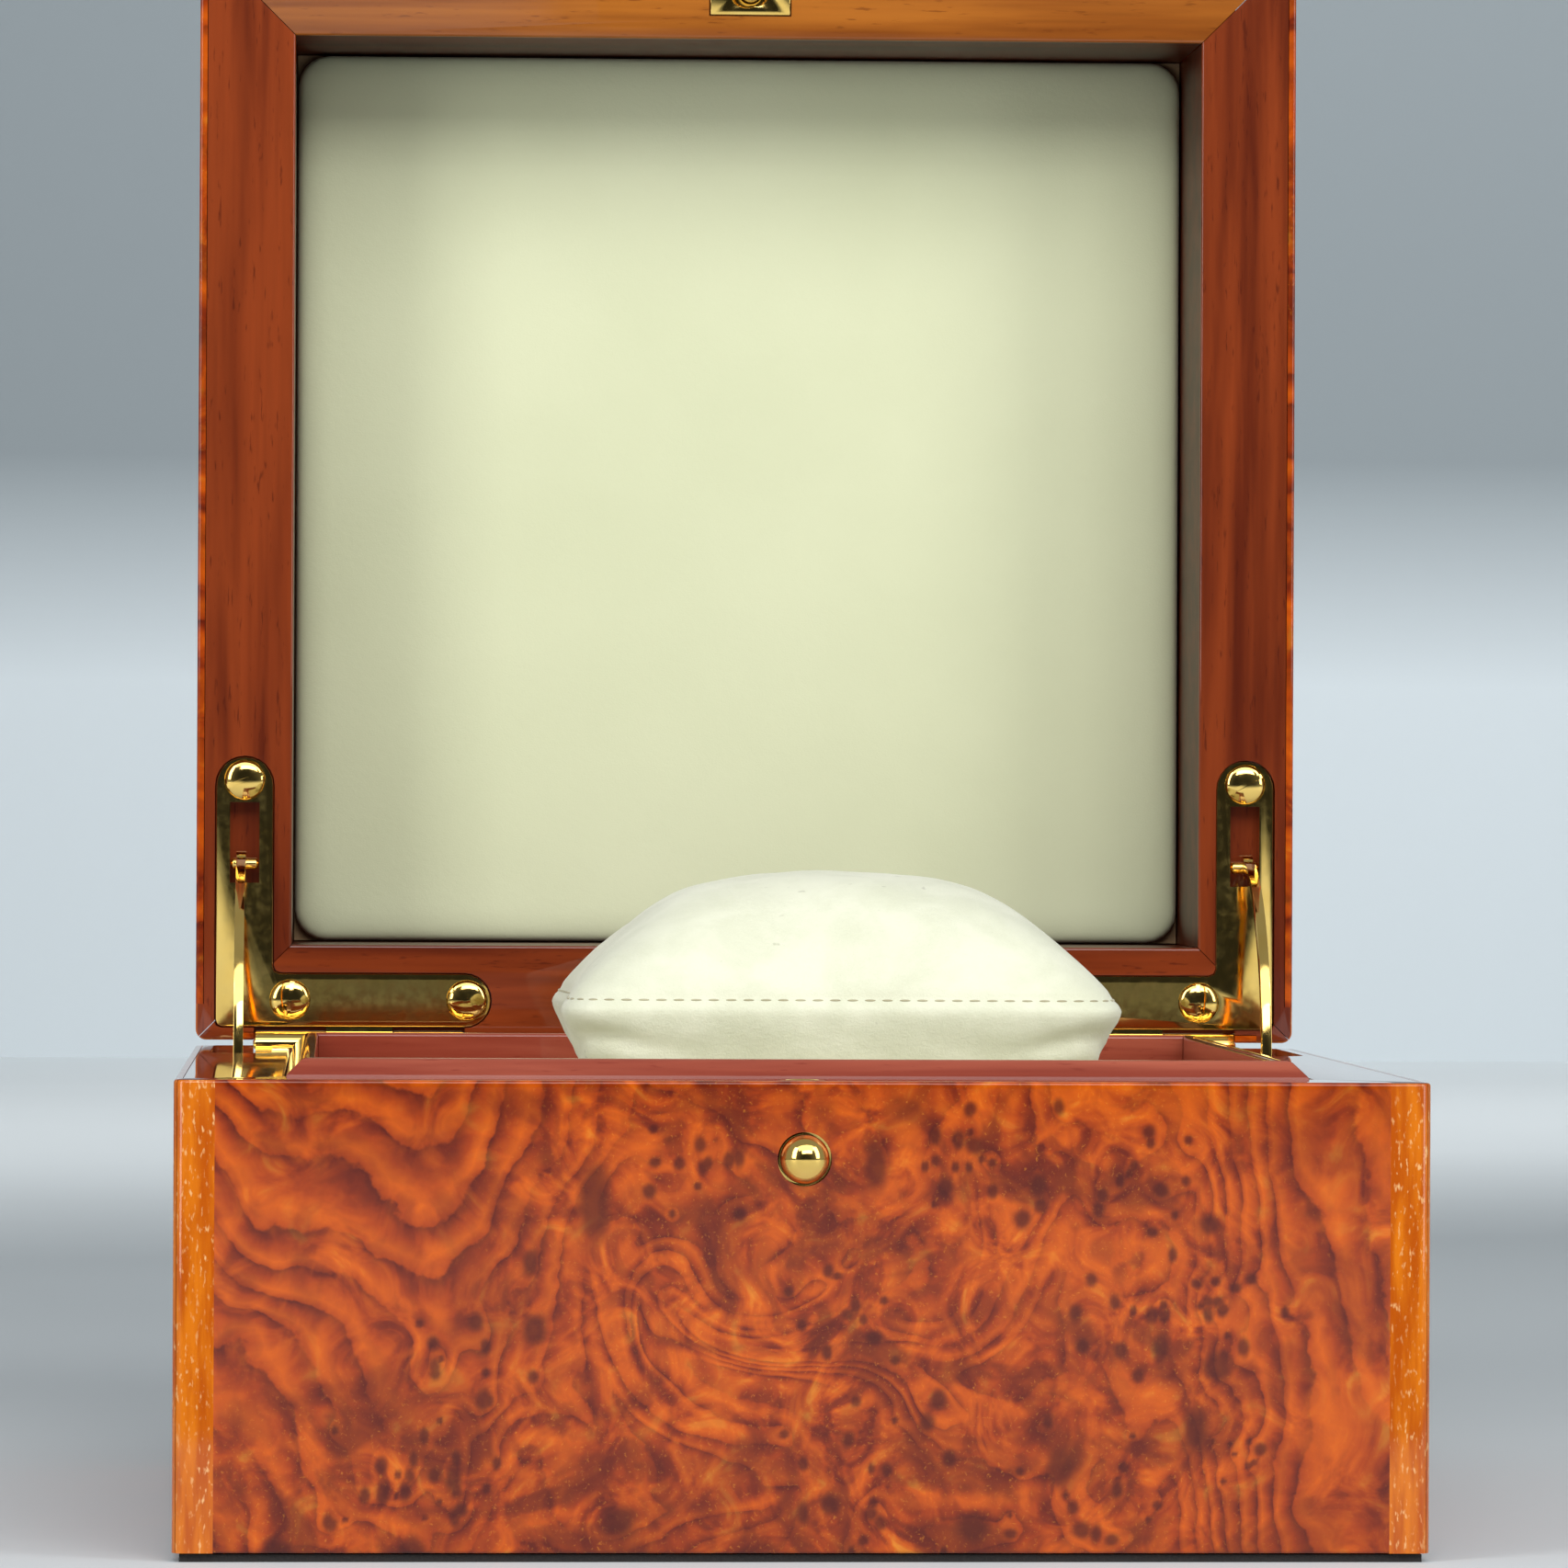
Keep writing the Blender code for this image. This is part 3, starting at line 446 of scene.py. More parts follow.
def burlFields(u, v, seed, front=False):
    # u and v in millimetres over the panel, v upwards; gives figure, eyes and busyness
    random = np.random.RandomState(seed)
    wide, tall = u.max() - u.min(), v.max() - v.min()
    if front:
        swirls, eyes = frontSwirls, list(frontEyes) + [(-27.5, 47.0, 2.5, 2.6)]
        for cu, cv, reach, count in frontClusters:
            for _ in range(count):
                eyes.append((cu + random.normal(0, reach), cv + random.normal(0, reach * 0.8),
                             random.uniform(0.45, 1.0), random.uniform(0.9, 1.8)))
    else:
        swirls, eyes = [], []
        count = max(4, int(wide * tall / 1300))
        for _ in range(count):
            swirls.append((random.uniform(u.min(), u.max()), random.uniform(v.min(), v.max()),
                           random.uniform(9, 18), random.uniform(-0.4, 0.4)))
        for _ in range(max(4, int(wide * tall / 1300))):
            cu, cv = random.uniform(u.min(), u.max()), random.uniform(v.min(), v.max())
            for _ in range(random.randint(3, 9)):
                eyes.append((cu + random.normal(0, 5), cv + random.normal(0, 5),
                             random.uniform(0.7, 1.7), random.uniform(0.8, 1.8)))
    wu, wv = u.copy(), v.copy()
    for cu, cv, reach, turn in swirls:
        du, dv = wu - cu, wv - cv
        angle = 2 * pi * turn * np.exp(-(du**2 + dv**2) / reach**2)
        wu, wv = cu + du * np.cos(angle) - dv * np.sin(angle), cv + du * np.sin(angle) + dv * np.cos(angle)
    wu = wu + 5.0 * gradientNoise(u, v, 15, seed + 1) + 1.6 * gradientNoise(u, v, 5.5, seed + 2)
    wv = wv + 5.0 * gradientNoise(u, v, 15, seed + 3) + 1.6 * gradientNoise(u, v, 5.5, seed + 4)
    rough = 20 * gradientNoise(wu, wv, 26, seed + 5) + 10 * gradientNoise(wu, wv, 12, seed + 6)
    if front:
        left = wv - 0.0155 * (wu + 45) ** 2
        right = wu * 0.95 + 0.22 * wv
        leftShare = 1 - smoothStep(u, -52, -18)
        rightShare = smoothStep(u, 46, 66)
        middle = 0.35 * wv + 0.25 * wu + rough
        figure = left * leftShare + right * rightShare + middle * (1 - leftShare - rightShare)
        figure = figure + 0.25 * rough * (leftShare + rightShare)
        busy = 1 - 0.9 * leftShare * smoothStep(v, 14, 30) - 0.7 * rightShare
    else:
        lean = random.uniform(0, 2 * pi)
        figure = 0.55 * (wu * cos(lean) + wv * sin(lean)) + rough
        busy = smoothStep(gradientNoise(u, v, 30, seed + 7), -0.25, 0.3)
    dark = np.zeros_like(u)
    for cu, cv, size, stretch in eyes:
        wobble = 1 + 0.25 * gradientNoise(u + cu, v + cv, 1.8, seed + 8)
        far = np.sqrt((u - cu) ** 2 + ((v - cv) / stretch) ** 2) * wobble
        dark = np.maximum(dark, np.clip(1.35 - far / size, 0, 1))
        figure = figure + 4.2 * size**0.5 * np.exp(-(far / (2.1 * size)) ** 2)
    return figure, dark, np.clip(busy, 0, 1)


def gridLines(low, high, step, exact=(), rounded=(False, False)):
    # even lines from low to high, some moved to exact places, closer over a rounded edge
    count = max(2, int(round((high - low) / step)))
    lines = list(np.linspace(low, high, count + 1))
    for value in exact:
        lines[int(np.argmin([abs(line - value) for line in lines]))] = value
    size = burlPanels["edgeRound"]
    extra = [size * (1 - sin(pi / 2 * k / 4)) for k in range(4)]
    if rounded[0]:
        lines = [low] + [low + e for e in extra] + [x for x in lines if x > low + size + step * 0.3]
    if rounded[1]:
        lines = [x for x in lines if x < high - size - step * 0.3] + [high - e for e in extra] + [high]
    return np.array(sorted(lines))


def burlPanel(node, across, up, seed, roundedEdges, step=None, front=False, gaps=(), bore=None):
    # across, up and out are axis numbers; the sheet's seen face is the one further from the middle
    low, high = (np.array(c) * 1000 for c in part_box(node))
    out = 3 - across - up
    faceHigh = abs(high[out] - outMiddle(node)[out]) > abs(low[out] - outMiddle(node)[out])
    seen, hidden = (high[out], low[out]) if faceHigh else (low[out], high[out])
    inward = -1 if faceHigh else 1
    spread = 0.1
    us = gridLines(low[across] - spread, high[across] + spread, step or burlPanels["step"],
                   [g for gap in gaps for g in gap[:2]])
    vs = gridLines(low[up], high[up], step or burlPanels["step"], [g for gap in gaps for g in gap[2:]],
                   roundedEdges)
    midU, midV = (us[1:] + us[:-1]) / 2, (vs[1:] + vs[:-1]) / 2
    cellU, cellV = np.meshgrid(midU, midV, indexing="ij")
    keep = np.ones(cellU.shape, bool)
    for u0, u1, v0, v1 in gaps:
        keep &= ~((cellU > u0) & (cellU < u1) & (cellV > v0) & (cellV < v1))
    u, v = (g.copy() for g in np.meshgrid(us, vs, indexing="ij"))
    if bore:
        keep &= np.hypot(cellU - bore[0], cellV - bore[1]) > bore[2]
        far = np.hypot(u - bore[0], v - bore[1])
        ring = np.zeros(u.shape, bool)
        for di in (0, 1):
            for dj in (0, 1):
                ring[di:di + keep.shape[0], dj:dj + keep.shape[1]] |= ~keep
        pull = ring & (far > 0)
        u[pull] = bore[0] + (u - bore[0])[pull] * bore[2] / far[pull]
        v[pull] = bore[1] + (v - bore[1])[pull] * bore[2] / far[pull]
    size = burlPanels["edgeRound"]
    depth = np.zeros(u.shape)
    for edge, isRound in ((vs[0], roundedEdges[0]), (vs[-1], roundedEdges[1])):
        if isRound:
            near = np.clip(size - np.abs(v - edge), 0, size)
            depth += size - np.sqrt(size**2 - near**2)
    places = np.zeros(u.shape + (3,))
    places[..., across], places[..., up], places[..., out] = u, v, seen + inward * depth
    behind = places.copy()
    behind[..., out] = hidden
    shape, made = bmesh.new(), {}

    def vertex(i, j, back):
        key = (i, j, back)
        if key not in made:
            made[key] = shape.verts.new((behind if back else places)[i, j] * mm)
        return made[key]

    around = np.zeros((keep.shape[0] + 2, keep.shape[1] + 2), bool)
    around[1:-1, 1:-1] = keep
    rimEdges = []
    for i, j in zip(*(k.tolist() for k in np.nonzero(keep))):
        corners = ((i, j), (i + 1, j), (i + 1, j + 1), (i, j + 1))
        shape.faces.new([vertex(*c, False) for c in corners])
        for k, (di, dj) in enumerate(((0, -1), (1, 0), (0, 1), (-1, 0))):
            if not around[i + 1 + di, j + 1 + dj]:
                first, second = corners[k], corners[(k + 1) % 4]
                side = shape.faces.new([vertex(*first, False), vertex(*second, False),
                                        vertex(*second, True), vertex(*first, True)])
                rimEdges.append(side.edges[2])
    bmesh.ops.triangle_fill(shape, use_beauty=True, use_dissolve=False, edges=rimEdges)
    mesh = meshFromBm(node + "_veneer", shape)
    where = np.empty(len(mesh.vertices) * 3)
    mesh.vertices.foreach_get("co", where)
    where = where.reshape(-1, 3) * 1000
    fields = burlFields(where[:, across], where[:, up], seed, front)
    for name, values in zip(("figure", "eyes", "busy"), fields):
        mesh.attributes.new(name, "FLOAT", "POINT").data.foreach_set("value", values.astype(np.float32))
    autoSmooth(mesh, 40)
    return addPiece(node + "_veneer", mesh, [burlPaint], [node], False)


def outMiddle(node):
    # the middle of the half of the box that a node belongs to, in millimetres
    low, high = (np.array(c) * 1000 for c in halves[bodies[node]])
    return (low + high) / 2


def boxOf(names):
    corners = [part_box(n) for n in names]
    low = [min(c[0][k] for c in corners) for k in range(3)]
    high = [max(c[1][k] for c in corners) for k in range(3)]
    return low, high


halves = {"base": boxOf([n for n in nodes if n.startswith("base_wall")]),
          "lid": boxOf([n for n in nodes if n.startswith("lid_wall")])}
half = halves["base"][1][0] * 1000
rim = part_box("base_wall_front")[1][2] * 1000
knuckleSpan = (8.65, 40.35)  # from the side of the box, with its clearance
coveDepth = 3.2
gapsAt = [(s * (half - knuckleSpan[s > 0]), s * (half - knuckleSpan[s < 0])) for s in (-1, 1)]
gapsAt = [tuple(sorted(g)) for g in gapsAt]
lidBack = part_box("lid_burl_back")
lidRimY = lidBack[0][1] * 1000
buttonLow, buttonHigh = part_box("push_button")
buttonZ = (buttonLow[2] + buttonHigh[2]) / 2 * 1000
buttonRadius = (buttonHigh[0] - buttonLow[0]) / 2 * 1000

burlPanel("base_burl_front", 0, 2, 11, (True, True), front=True, bore=(0, buttonZ, buttonRadius + 0.3))
burlPanel("base_burl_back", 0, 2, 23, (True, True), step=0.6,
          gaps=[(a, b, rim - coveDepth, rim + 1) for a, b in gapsAt])
burlPanel("base_burl_left", 1, 2, 37, (True, True), step=0.5)
burlPanel("base_burl_right", 1, 2, 41, (True, True), step=0.5)
burlPanel("lid_burl_front", 0, 1, 53, (True, False), step=0.55)
burlPanel("lid_burl_back", 0, 1, 67, (True, False), step=0.6,
          gaps=[(a, b, lidRimY - 1, lidRimY + coveDepth) for a, b in gapsAt])
burlPanel("lid_burl_left", 2, 1, 71, (True, False), step=0.5)
burlPanel("lid_burl_right", 2, 1, 83, (True, False), step=0.5)
burlPanel("lid_top_burl", 0, 2, 97, (False, False), step=0.75)
report("burl panels laid")



wallLook = {"edge": 0.45 * mm, "segments": 3, "veneer": 1.25 * mm}


def outerDistance(point, body):
    # how far inside the outer skin of its half a point is
    low, high = halves[body]
    gaps = [point[0] - low[0], high[0] - point[0]]
    if body == "base":
        gaps += [point[1] - low[1], high[1] - point[1]]
    else:
        gaps += [point[2] - low[2], high[2] - point[2], high[1] - point[1]]
    return min(gaps)


def rimOf(body):
    # axis, value and outward sense of the rim plane of a half
    return (2, halves["base"][1][2], 1) if body == "base" else (1, halves["lid"][0][1], -1)


def finishWall(node, paint):
    body = bodies[node]
    axis, level, _ = rimOf(body)
    low, high = halves[body]
    thick = wallThickness

    def wanted(edge):
        ends = [v.co for v in edge.verts]
        if not all(abs(p[axis] - level) < 0.00002 for p in ends):
            return False
        outer = [outerDistance(p, body) for p in ends]
        onOuter = all(d < 0.0006 for d in outer)
        onInner = all(abs(d - thick) < 0.00005 for d in outer)
        middle = (ends[0] + ends[1]) / 2
        onArc = outerDistance(middle, body) < 0.0006
        return onInner or (onOuter and onArc)

    mesh = bevelled(cadCopy(node), wallLook["edge"], wallLook["segments"], wanted)
    autoSmooth(mesh)
    piece = addPiece(node + "_solid", mesh, [paint, bandPaint, shadedRecessPaint], [node], False)
    for face in mesh.polygons:
        skin = outerDistance(face.center, body) < wallLook["veneer"]
        face.material_index = 1 if skin and abs(face.normal[axis]) < 0.8 or (
            skin and body == "lid" and face.normal[1] > 0.5) else 0
        onInside = abs(outerDistance(face.center, body) - thick) < 0.00005
        # painted shade: the lid's inner side walls take the darker recess wood
        if body == "lid" and onInside and abs(face.normal[1]) < 0.2:
            face.material_index = 2
    return piece


wallThickness = halves["base"][1][0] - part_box("base_floor")[1][0] - 0.0001
for side, along in (("front", 0), ("back", 0), ("left", 1), ("right", 1)):
    finishWall("base_wall_" + side, woodPaints[along])
# the lid's front rail takes the lighter wood with its painted light
for side, along in (("front", 0), ("back", 0), ("left", 2), ("right", 2)):
    finishWall("lid_wall_" + side, litRailPaint if side == "front" else woodPaints[along])

for side, along in (("front", 0), ("back", 0), ("left", 1), ("right", 1)):
    node = "liner_" + side
    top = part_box(node)[1][2]

    def onLip(edge):
        first, second = edge.verts
        flat = abs(first.co.z - second.co.z) < 0.00001
        return flat and first.co.z > top - 0.003 and edge.calc_length() > 0.05

    mesh = autoSmooth(bevelled(cadCopy(node), 0.55 * mm, 4, onLip))
    addPiece(node + "_board", mesh, [linerPaints[along]], [node], False)
report("walls and liners finished")



pillowLook = {
    "middle": (8.0, 0.0), "half": (38.5, 37.0), "seam": rim + 8.0, "rise": 19.6,
    "pullIn": 0.03, "fullness": 0.74, "stitchRise": 1.8,
    "stitchPitch": 2.4, "stitchLength": 1.5, "stitchWidth": 0.17,
}


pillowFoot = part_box("pillow")[0][2] * 1000


def loopedMesh(name, loops, closed=False):
    count = len(loops[0])
    shape = bmesh.new()
    rows = [[shape.verts.new([c * mm for c in p]) for p in loop] for loop in loops]
    pairs = list(zip(rows, rows[1:])) + ([(rows[-1], rows[0])] if closed else [])
    for one, two in pairs:
        for k in range(count):
            n = (k + 1) % count
            shape.faces.new((one[k], one[n], two[n], two[k]))
    if not closed:
        for row in (rows[0], rows[-1]):
            centre = shape.verts.new(sum((v.co for v in row), Vector()) / count)
            for k in range(count):
                shape.faces.new((centre, row[k], row[(k + 1) % count]))
    return meshFromBm(name, shape)


def pillowPoint(turn, size, lower):
    # turn goes round the pillow, size from the middle (0) to the seam (1)
    look = pillowLook
    c, s = cos(turn), sin(turn)
    power = 2.6 + 6.5 * size**3
    reach = (abs(c) ** power + abs(s) ** power) ** (-1 / power)
    reach *= 1 - look["pullIn"] * cos(2 * turn) ** 2 * size**4
    corner = abs(sin(2 * turn)) ** 10
    reach *= 1 + 0.02 * corner * size**10
    x, y = look["half"][0] * size * reach * c, look["half"][1] * size * reach * s
    if lower:
        fall = look["seam"] - pillowFoot
        t, sharp = (1 - size) / 0.30, 4
        t **= look["fullness"]
        height = -fall * t / (1 + t**sharp) ** (1 / sharp)
    else:
        t, sharp = (1 - size) / 0.53, 5
        t **= look["fullness"]
        height = look["rise"] * t / (1 + t**sharp) ** (1 / sharp)
    return x, y, height


def makePillow():
    look = pillowLook
    steps, rows = 320, 44
    sizes = [1 - (1 - k / rows) ** 1.5 for k in range(1, rows + 1)]
    loops = []
    for lower, order in ((True, sizes), (False, sizes[::-1][1:])):
        for size in order:
            loops.append([pillowPoint(2 * pi * k / steps, size, lower) for k in range(steps)])
    heights = [pillowPoint(0, size, False)[2] for size in sizes[::-1]]
    seamRow = rows - 1 + int(np.argmin([abs(h - look["stitchRise"]) for h in heights]))
    places = np.array(loops)
    flatX, flatY, flatZ = places[..., 0], places[..., 1], places[..., 2]
    away = places / np.linalg.norm(places, axis=2, keepdims=True)
    # soft creases that run in from each corner just under the seam, and broad dimples
    inward = np.zeros_like(flatX)
    for sx in (-1, 1):
        for sy in (-1, 1):
            cornerX, cornerY = sx * look["half"][0], sy * look["half"][1]
            alongX = np.abs(flatX - cornerX)
            alongY = np.abs(flatY - cornerY)
            for run, other, drop, length, deep in (
                (alongX, alongY, 3.2, 11, 0.9), (alongY, alongX, 4.2, 9, 0.8)
            ):
                line = -drop - 0.10 * run + 0.6 * np.sin(run / 3.0)
                crease = np.exp(-((flatZ - line) / 1.1) ** 2)
                window = np.exp(-((run - 5) / length) ** 2) * np.exp(-(other / 9.0) ** 2)
                inward += deep * crease * window
                bulge = np.exp(-((flatZ - line + 3.0) / 1.8) ** 2)
                inward -= 0.45 * deep * bulge * window
            top = np.exp(-((alongX - alongY) / 3.0) ** 2) * np.exp(-((flatZ - 5) / 5.0) ** 2)
            inward += 0.35 * top * np.exp(-((alongX + alongY) / 22) ** 2)
    inward += 0.4 * np.exp(-((flatZ - look["stitchRise"]) / 0.5) ** 2)
    for size, amount, seed in ((17, 0.55, 5), (7, 0.22, 6), (3, 0.06, 7)):
        inward += amount * gradientNoise(flatX + 0.6 * flatZ, flatY - 0.5 * flatZ, size, seed)
    calm = np.clip((flatZ + 16) / 4, 0, 1)
    places = places - away * (inward * calm)[..., None]
    places += np.array([look["middle"][0], look["middle"][1], look["seam"]])
    mesh = loopedMesh("watch_pillow", places.tolist())
    pillow = addPiece("watch_pillow", mesh, [pillowPaint], ["pillow"])
    return places[seamRow]


seamLine = makePillow()


def stitchTree():
    # short thread segments along a closed line
    tree = bpy.data.node_groups.new("stitches", "GeometryNodeTree")
    face = tree.interface
    face.new_socket("Geometry", in_out="INPUT", socket_type="NodeSocketGeometry")
    for name in ("Pitch", "Length", "Width"):
        face.new_socket(name, in_out="INPUT", socket_type="NodeSocketFloat")
    face.new_socket("Thread", in_out="INPUT", socket_type="NodeSocketMaterial")
    face.new_socket("Geometry", in_out="OUTPUT", socket_type="NodeSocketGeometry")

    def node(kind, **settings):
        made = tree.nodes.new(kind)
        for key, value in settings.items():
            setattr(made, key, value)
        return made

    def link(first, second):
        tree.links.new(first, second)

    start, end = node("NodeGroupInput"), node("NodeGroupOutput")
    curve = node("GeometryNodeMeshToCurve")
    spread = node("GeometryNodeCurveToPoints", mode="LENGTH")
    stitch = node("GeometryNodeMeshUVSphere")
    stitch.inputs["Segments"].default_value = 8
    stitch.inputs["Rings"].default_value = 6
    stitch.inputs["Radius"].default_value = 1.0
    size = node("ShaderNodeCombineXYZ")
    place = node("GeometryNodeInstanceOnPoints")
    real = node("GeometryNodeRealizeInstances")
    paint = node("GeometryNodeSetMaterial")
    half = node("ShaderNodeMath", operation="MULTIPLY")
    half.inputs[1].default_value = 0.5
    link(start.outputs["Geometry"], curve.inputs["Mesh"])
    link(curve.outputs["Curve"], spread.inputs["Curve"])
    link(start.outputs["Pitch"], spread.inputs["Length"])
    link(spread.outputs["Points"], place.inputs["Points"])
    link(stitch.outputs["Mesh"], place.inputs["Instance"])
    link(spread.outputs["Rotation"], place.inputs["Rotation"])
    link(start.outputs["Length"], half.inputs[0])
    link(start.outputs["Width"], size.inputs["X"])
    link(start.outputs["Width"], size.inputs["Y"])
    link(half.outputs[0], size.inputs["Z"])
    link(size.outputs[0], place.inputs["Scale"])
    link(place.outputs[0], real.inputs[0])
    link(real.outputs[0], paint.inputs["Geometry"])
    link(start.outputs["Thread"], paint.inputs["Material"])
    link(paint.outputs[0], end.inputs[0])
    return tree


def runTree(name, mesh, tree, values):
    # puts a tree on a mesh and gives the finished plain mesh
    made = linked(name, mesh)
    step = made.modifiers.new("nodes", "NODES")
    step.node_group = tree
    for item in tree.interface.items_tree:
        if item.in_out == "INPUT" and item.name in values:
            step[item.identifier] = values[item.name]
    return evaluated(made)


def lineMesh(name, points, closed=True):
    mesh = bpy.data.meshes.new(name)
    count = len(points)
    edges = [(k, (k + 1) % count) for k in range(count if closed else count - 1)]
    mesh.from_pydata([[c * mm for c in p] for p in points], edges, [])
    return mesh


def makeStitches():
    look = pillowLook
    middle = np.array([look["middle"][0], look["middle"][1], look["seam"]])
    away = seamLine - middle
    away[:, 2] = 0
    away /= np.linalg.norm(away, axis=1, keepdims=True)
    line = seamLine + away * 0.06
    mesh = runTree("pillow_stitches", lineMesh("stitch line", line.tolist()), stitchTree(), {
        "Pitch": look["stitchPitch"] * mm, "Length": look["stitchLength"] * mm,
        "Width": look["stitchWidth"] * mm, "Thread": stitchThreadAndShadePaint})
    made = linked("pillow_stitches", mesh)
    mesh.shade_smooth()
    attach(made, "base")


makeStitches()


def roundedLoop(middle, halfSize, radius, steps):
    # evenly stepped outline of a rounded rectangle
    (cx, cy), (hx, hy) = middle, halfSize
    sides = [(2 * (hy - radius)), (2 * (hx - radius))] * 2
    points = []
    straight = [(hx, -hy + radius, 0, 1), (hx - radius, hy, -1, 0),
                (-hx, hy - radius, 0, -1), (-hx + radius, -hy, 1, 0)]
    centres = [(hx - radius, hy - radius, 0), (-hx + radius, hy - radius, 90),
               (-hx + radius, -hy + radius, 180), (hx - radius, -hy + radius, 270)]
    perSide, perArc = steps
    for k in range(4):
        x, y, dx, dy = straight[k]
        for j in range(perSide):
            far = sides[k] * j / perSide
            points.append((cx + x + dx * far, cy + y + dy * far))
        x, y, start = centres[k]
        for j in range(perArc):
            t = radians(start + 90 * j / perArc)
            points.append((cx + x + radius * cos(t), cy + y + radius * sin(t)))
    return points


padLook = {"crownWidth": 5.5, "edgeRadius": 1.6, "sag": 0.25}


def makeLidPad():
    low, high = (np.array(c) * 1000 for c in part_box("lid_pad"))
    middle = ((low[0] + high[0]) / 2, (low[2] + high[2]) / 2)
    halfSize = ((high[0] - low[0]) / 2, (high[2] - low[2]) / 2)
    thick = high[1] - low[1]
    rows = [(0.0, 0.0), (0.0, 0.12)]
    crown = padLook["crownWidth"]
    rows += [(crown * (k / 16) ** 1.6, 0.12 + 0.80 * sqrt(1 - (1 - k / 16) ** 2)) for k in range(1, 17)]
    flat = halfSize[0] - crown - 3
    rows += [(crown + flat * k / 22, 0.92 + 0.08 * sin(pi / 2 * k / 22)) for k in range(1, 23)]
    loops = []
    for inset, depth in rows:
        radius = max(padLook["edgeRadius"], padLook["edgeRadius"] + 3.0 - inset * 0.03)
        size = (halfSize[0] - inset, halfSize[1] - inset)
        outline = roundedLoop(middle, size, min(radius, size[0] * 0.9), (40, 5))
        loops.append([(x, high[1] - thick * depth, z) for x, z in outline])
    places = np.array(loops)
    ripple = padLook["sag"] * gradientNoise(places[..., 0], places[..., 2], 38, 3)
    ripple += 0.06 * gradientNoise(places[..., 0], places[..., 2], 6, 4)
    share = np.clip((high[1] - places[..., 1]) / thick, 0, 1)
    places[..., 1] += np.abs(ripple) * share
    pad = addPiece("lid_cushion", loopedMesh("lid_cushion", places.tolist()), [satinPaint], ["lid_pad"])


makeLidPad()


def makeTrayPad():
    low, high = (np.array(c) * 1000 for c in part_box("tray_deck"))
    outer = ((high[0] - low[0]) / 2, (high[1] - low[1]) / 2)
    inner = (30.0, 29.0)
    steps = (44, 10)
    soft = 1.3
    section = []
    for k in range(7):
        t = pi / 2 * k / 6
        section.append((soft * (1 - cos(t)), high[2] - soft + soft * sin(t)))
    loops = [[(x, y, low[2]) for x, y in roundedLoop((0, 0), outer, 1.0, steps)]]
    for inset, z in section:
        outline = roundedLoop((0, 0), (outer[0] - inset, outer[1] - inset), 1.0 + inset * 0.5, steps)
        loops.append([(x, y, z) for x, y in outline])
    wide = np.array(roundedLoop((0, 0), (outer[0] - soft, outer[1] - soft), 1.6, steps))
    pocket = (pillowLook["middle"][0], 0)
    tight = np.array(roundedLoop(pocket, (inner[0] + soft, inner[1] + soft), 7.0, steps))
    for k in range(1, 14):
        share = k / 14
        loops.append([(x, y, high[2]) for x, y in wide * (1 - share) + tight * share])
    for inset, z in reversed(section):
        outline = roundedLoop(pocket, (inner[0] + inset, inner[1] + inset), 6 + inset, steps)
        loops.append([(x, y, z) for x, y in outline])
    outline = roundedLoop(pocket, inner, 6.0, steps)
    loops.append([(x, y, low[2]) for x, y in outline])
    places = np.array(loops)
    upper = np.clip((places[..., 2] - low[2]) / (high[2] - low[2]), 0, 1) ** 3
    places[..., 2] -= upper * np.abs(0.5 * gradientNoise(places[..., 0], places[..., 1], 14, 8))
    mesh = loopedMesh("tray_cushion", places.tolist(), True)
    pad = addPiece("tray_cushion", mesh, [traySuedePaint], ["tray_deck"])


makeTrayPad()
report("padded pieces made")



brassLook = {
    "leafEdge": 0.85 * mm, "outerEdge": 2.9 * mm, "innerEdge": 11.5 * mm, "edgeSpread": 1.2 * mm,
    "backLegFrom": 10.5 * mm, "screwHole": 3.4 * mm,
    "slotSpan": (4.5 * mm, 9.8 * mm), "slotSides": (5 * mm, 9.4 * mm),
}


def finishLeaf(node):
    look = brassLook
    body = bodies[node]
    axis, level, sense = rimOf(body)
    low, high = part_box(node)
    shape = cadCopy(node)
    heights = sorted({round(v.co[axis], 6) for v in shape.verts})
    counts = {h: sum(1 for v in shape.verts if abs(v.co[axis] - h) < 0.000005) for h in heights}
    # the leaf's seen face is the nearer of its two fullest levels to the rim
    fullest = sorted(counts, key=counts.get)[-2:]
    seen = max(fullest) if sense > 0 else min(fullest)
    slotLow, slotHigh = slotBounds(shape, axis, seen)

    def wanted(edge):
        ends = [v.co for v in edge.verts]
        if not all(abs(p[axis] - seen) < 0.00002 for p in ends):
            return False
        middle = (ends[0] + ends[1]) / 2
        forward = hingeForward(middle, body)
        outside = half * mm - abs(middle.x)
        onSide = abs(outside - look["outerEdge"]) < look["edgeSpread"] or (
            abs(outside - look["innerEdge"]) < look["edgeSpread"] and forward > look["backLegFrom"])
        for a, b in screwSpots:
            if (outside - a) ** 2 + (forward - b) ** 2 < look["screwHole"] ** 2 and not onSide:
                return False
        across = look["slotSpan"][0] < outside < look["slotSpan"][1]
        inSlot = across and slotLow - 0.0002 < forward < slotHigh + 0.0002
        return not inSlot

    mesh = autoSmooth(bevelled(shape, brassLook["leafEdge"], 4, wanted))
    return addPiece(node + "_plate", mesh, [brassPaint], [node], False)


hinge = next(j for j in frame["record"]["behaviour"]["joints"] if j["name"] == "lid_hinge")
axisY, axisZ = hinge["pos_m"][1:]


def hingeForward(point, body):
    # distance of a point from the hinge line, measured over the rim
    return axisY - point[1] if body == "base" else point[2] - axisZ


def screwPlaces(body):
    found = []
    for node in sorted(nodes):
        if "screw" in node and bodies[node] == body:
            low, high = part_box(node)
            middle = [(a + b) / 2 for a, b in zip(low, high)]
            found.append((node, middle, low, high))
    return found


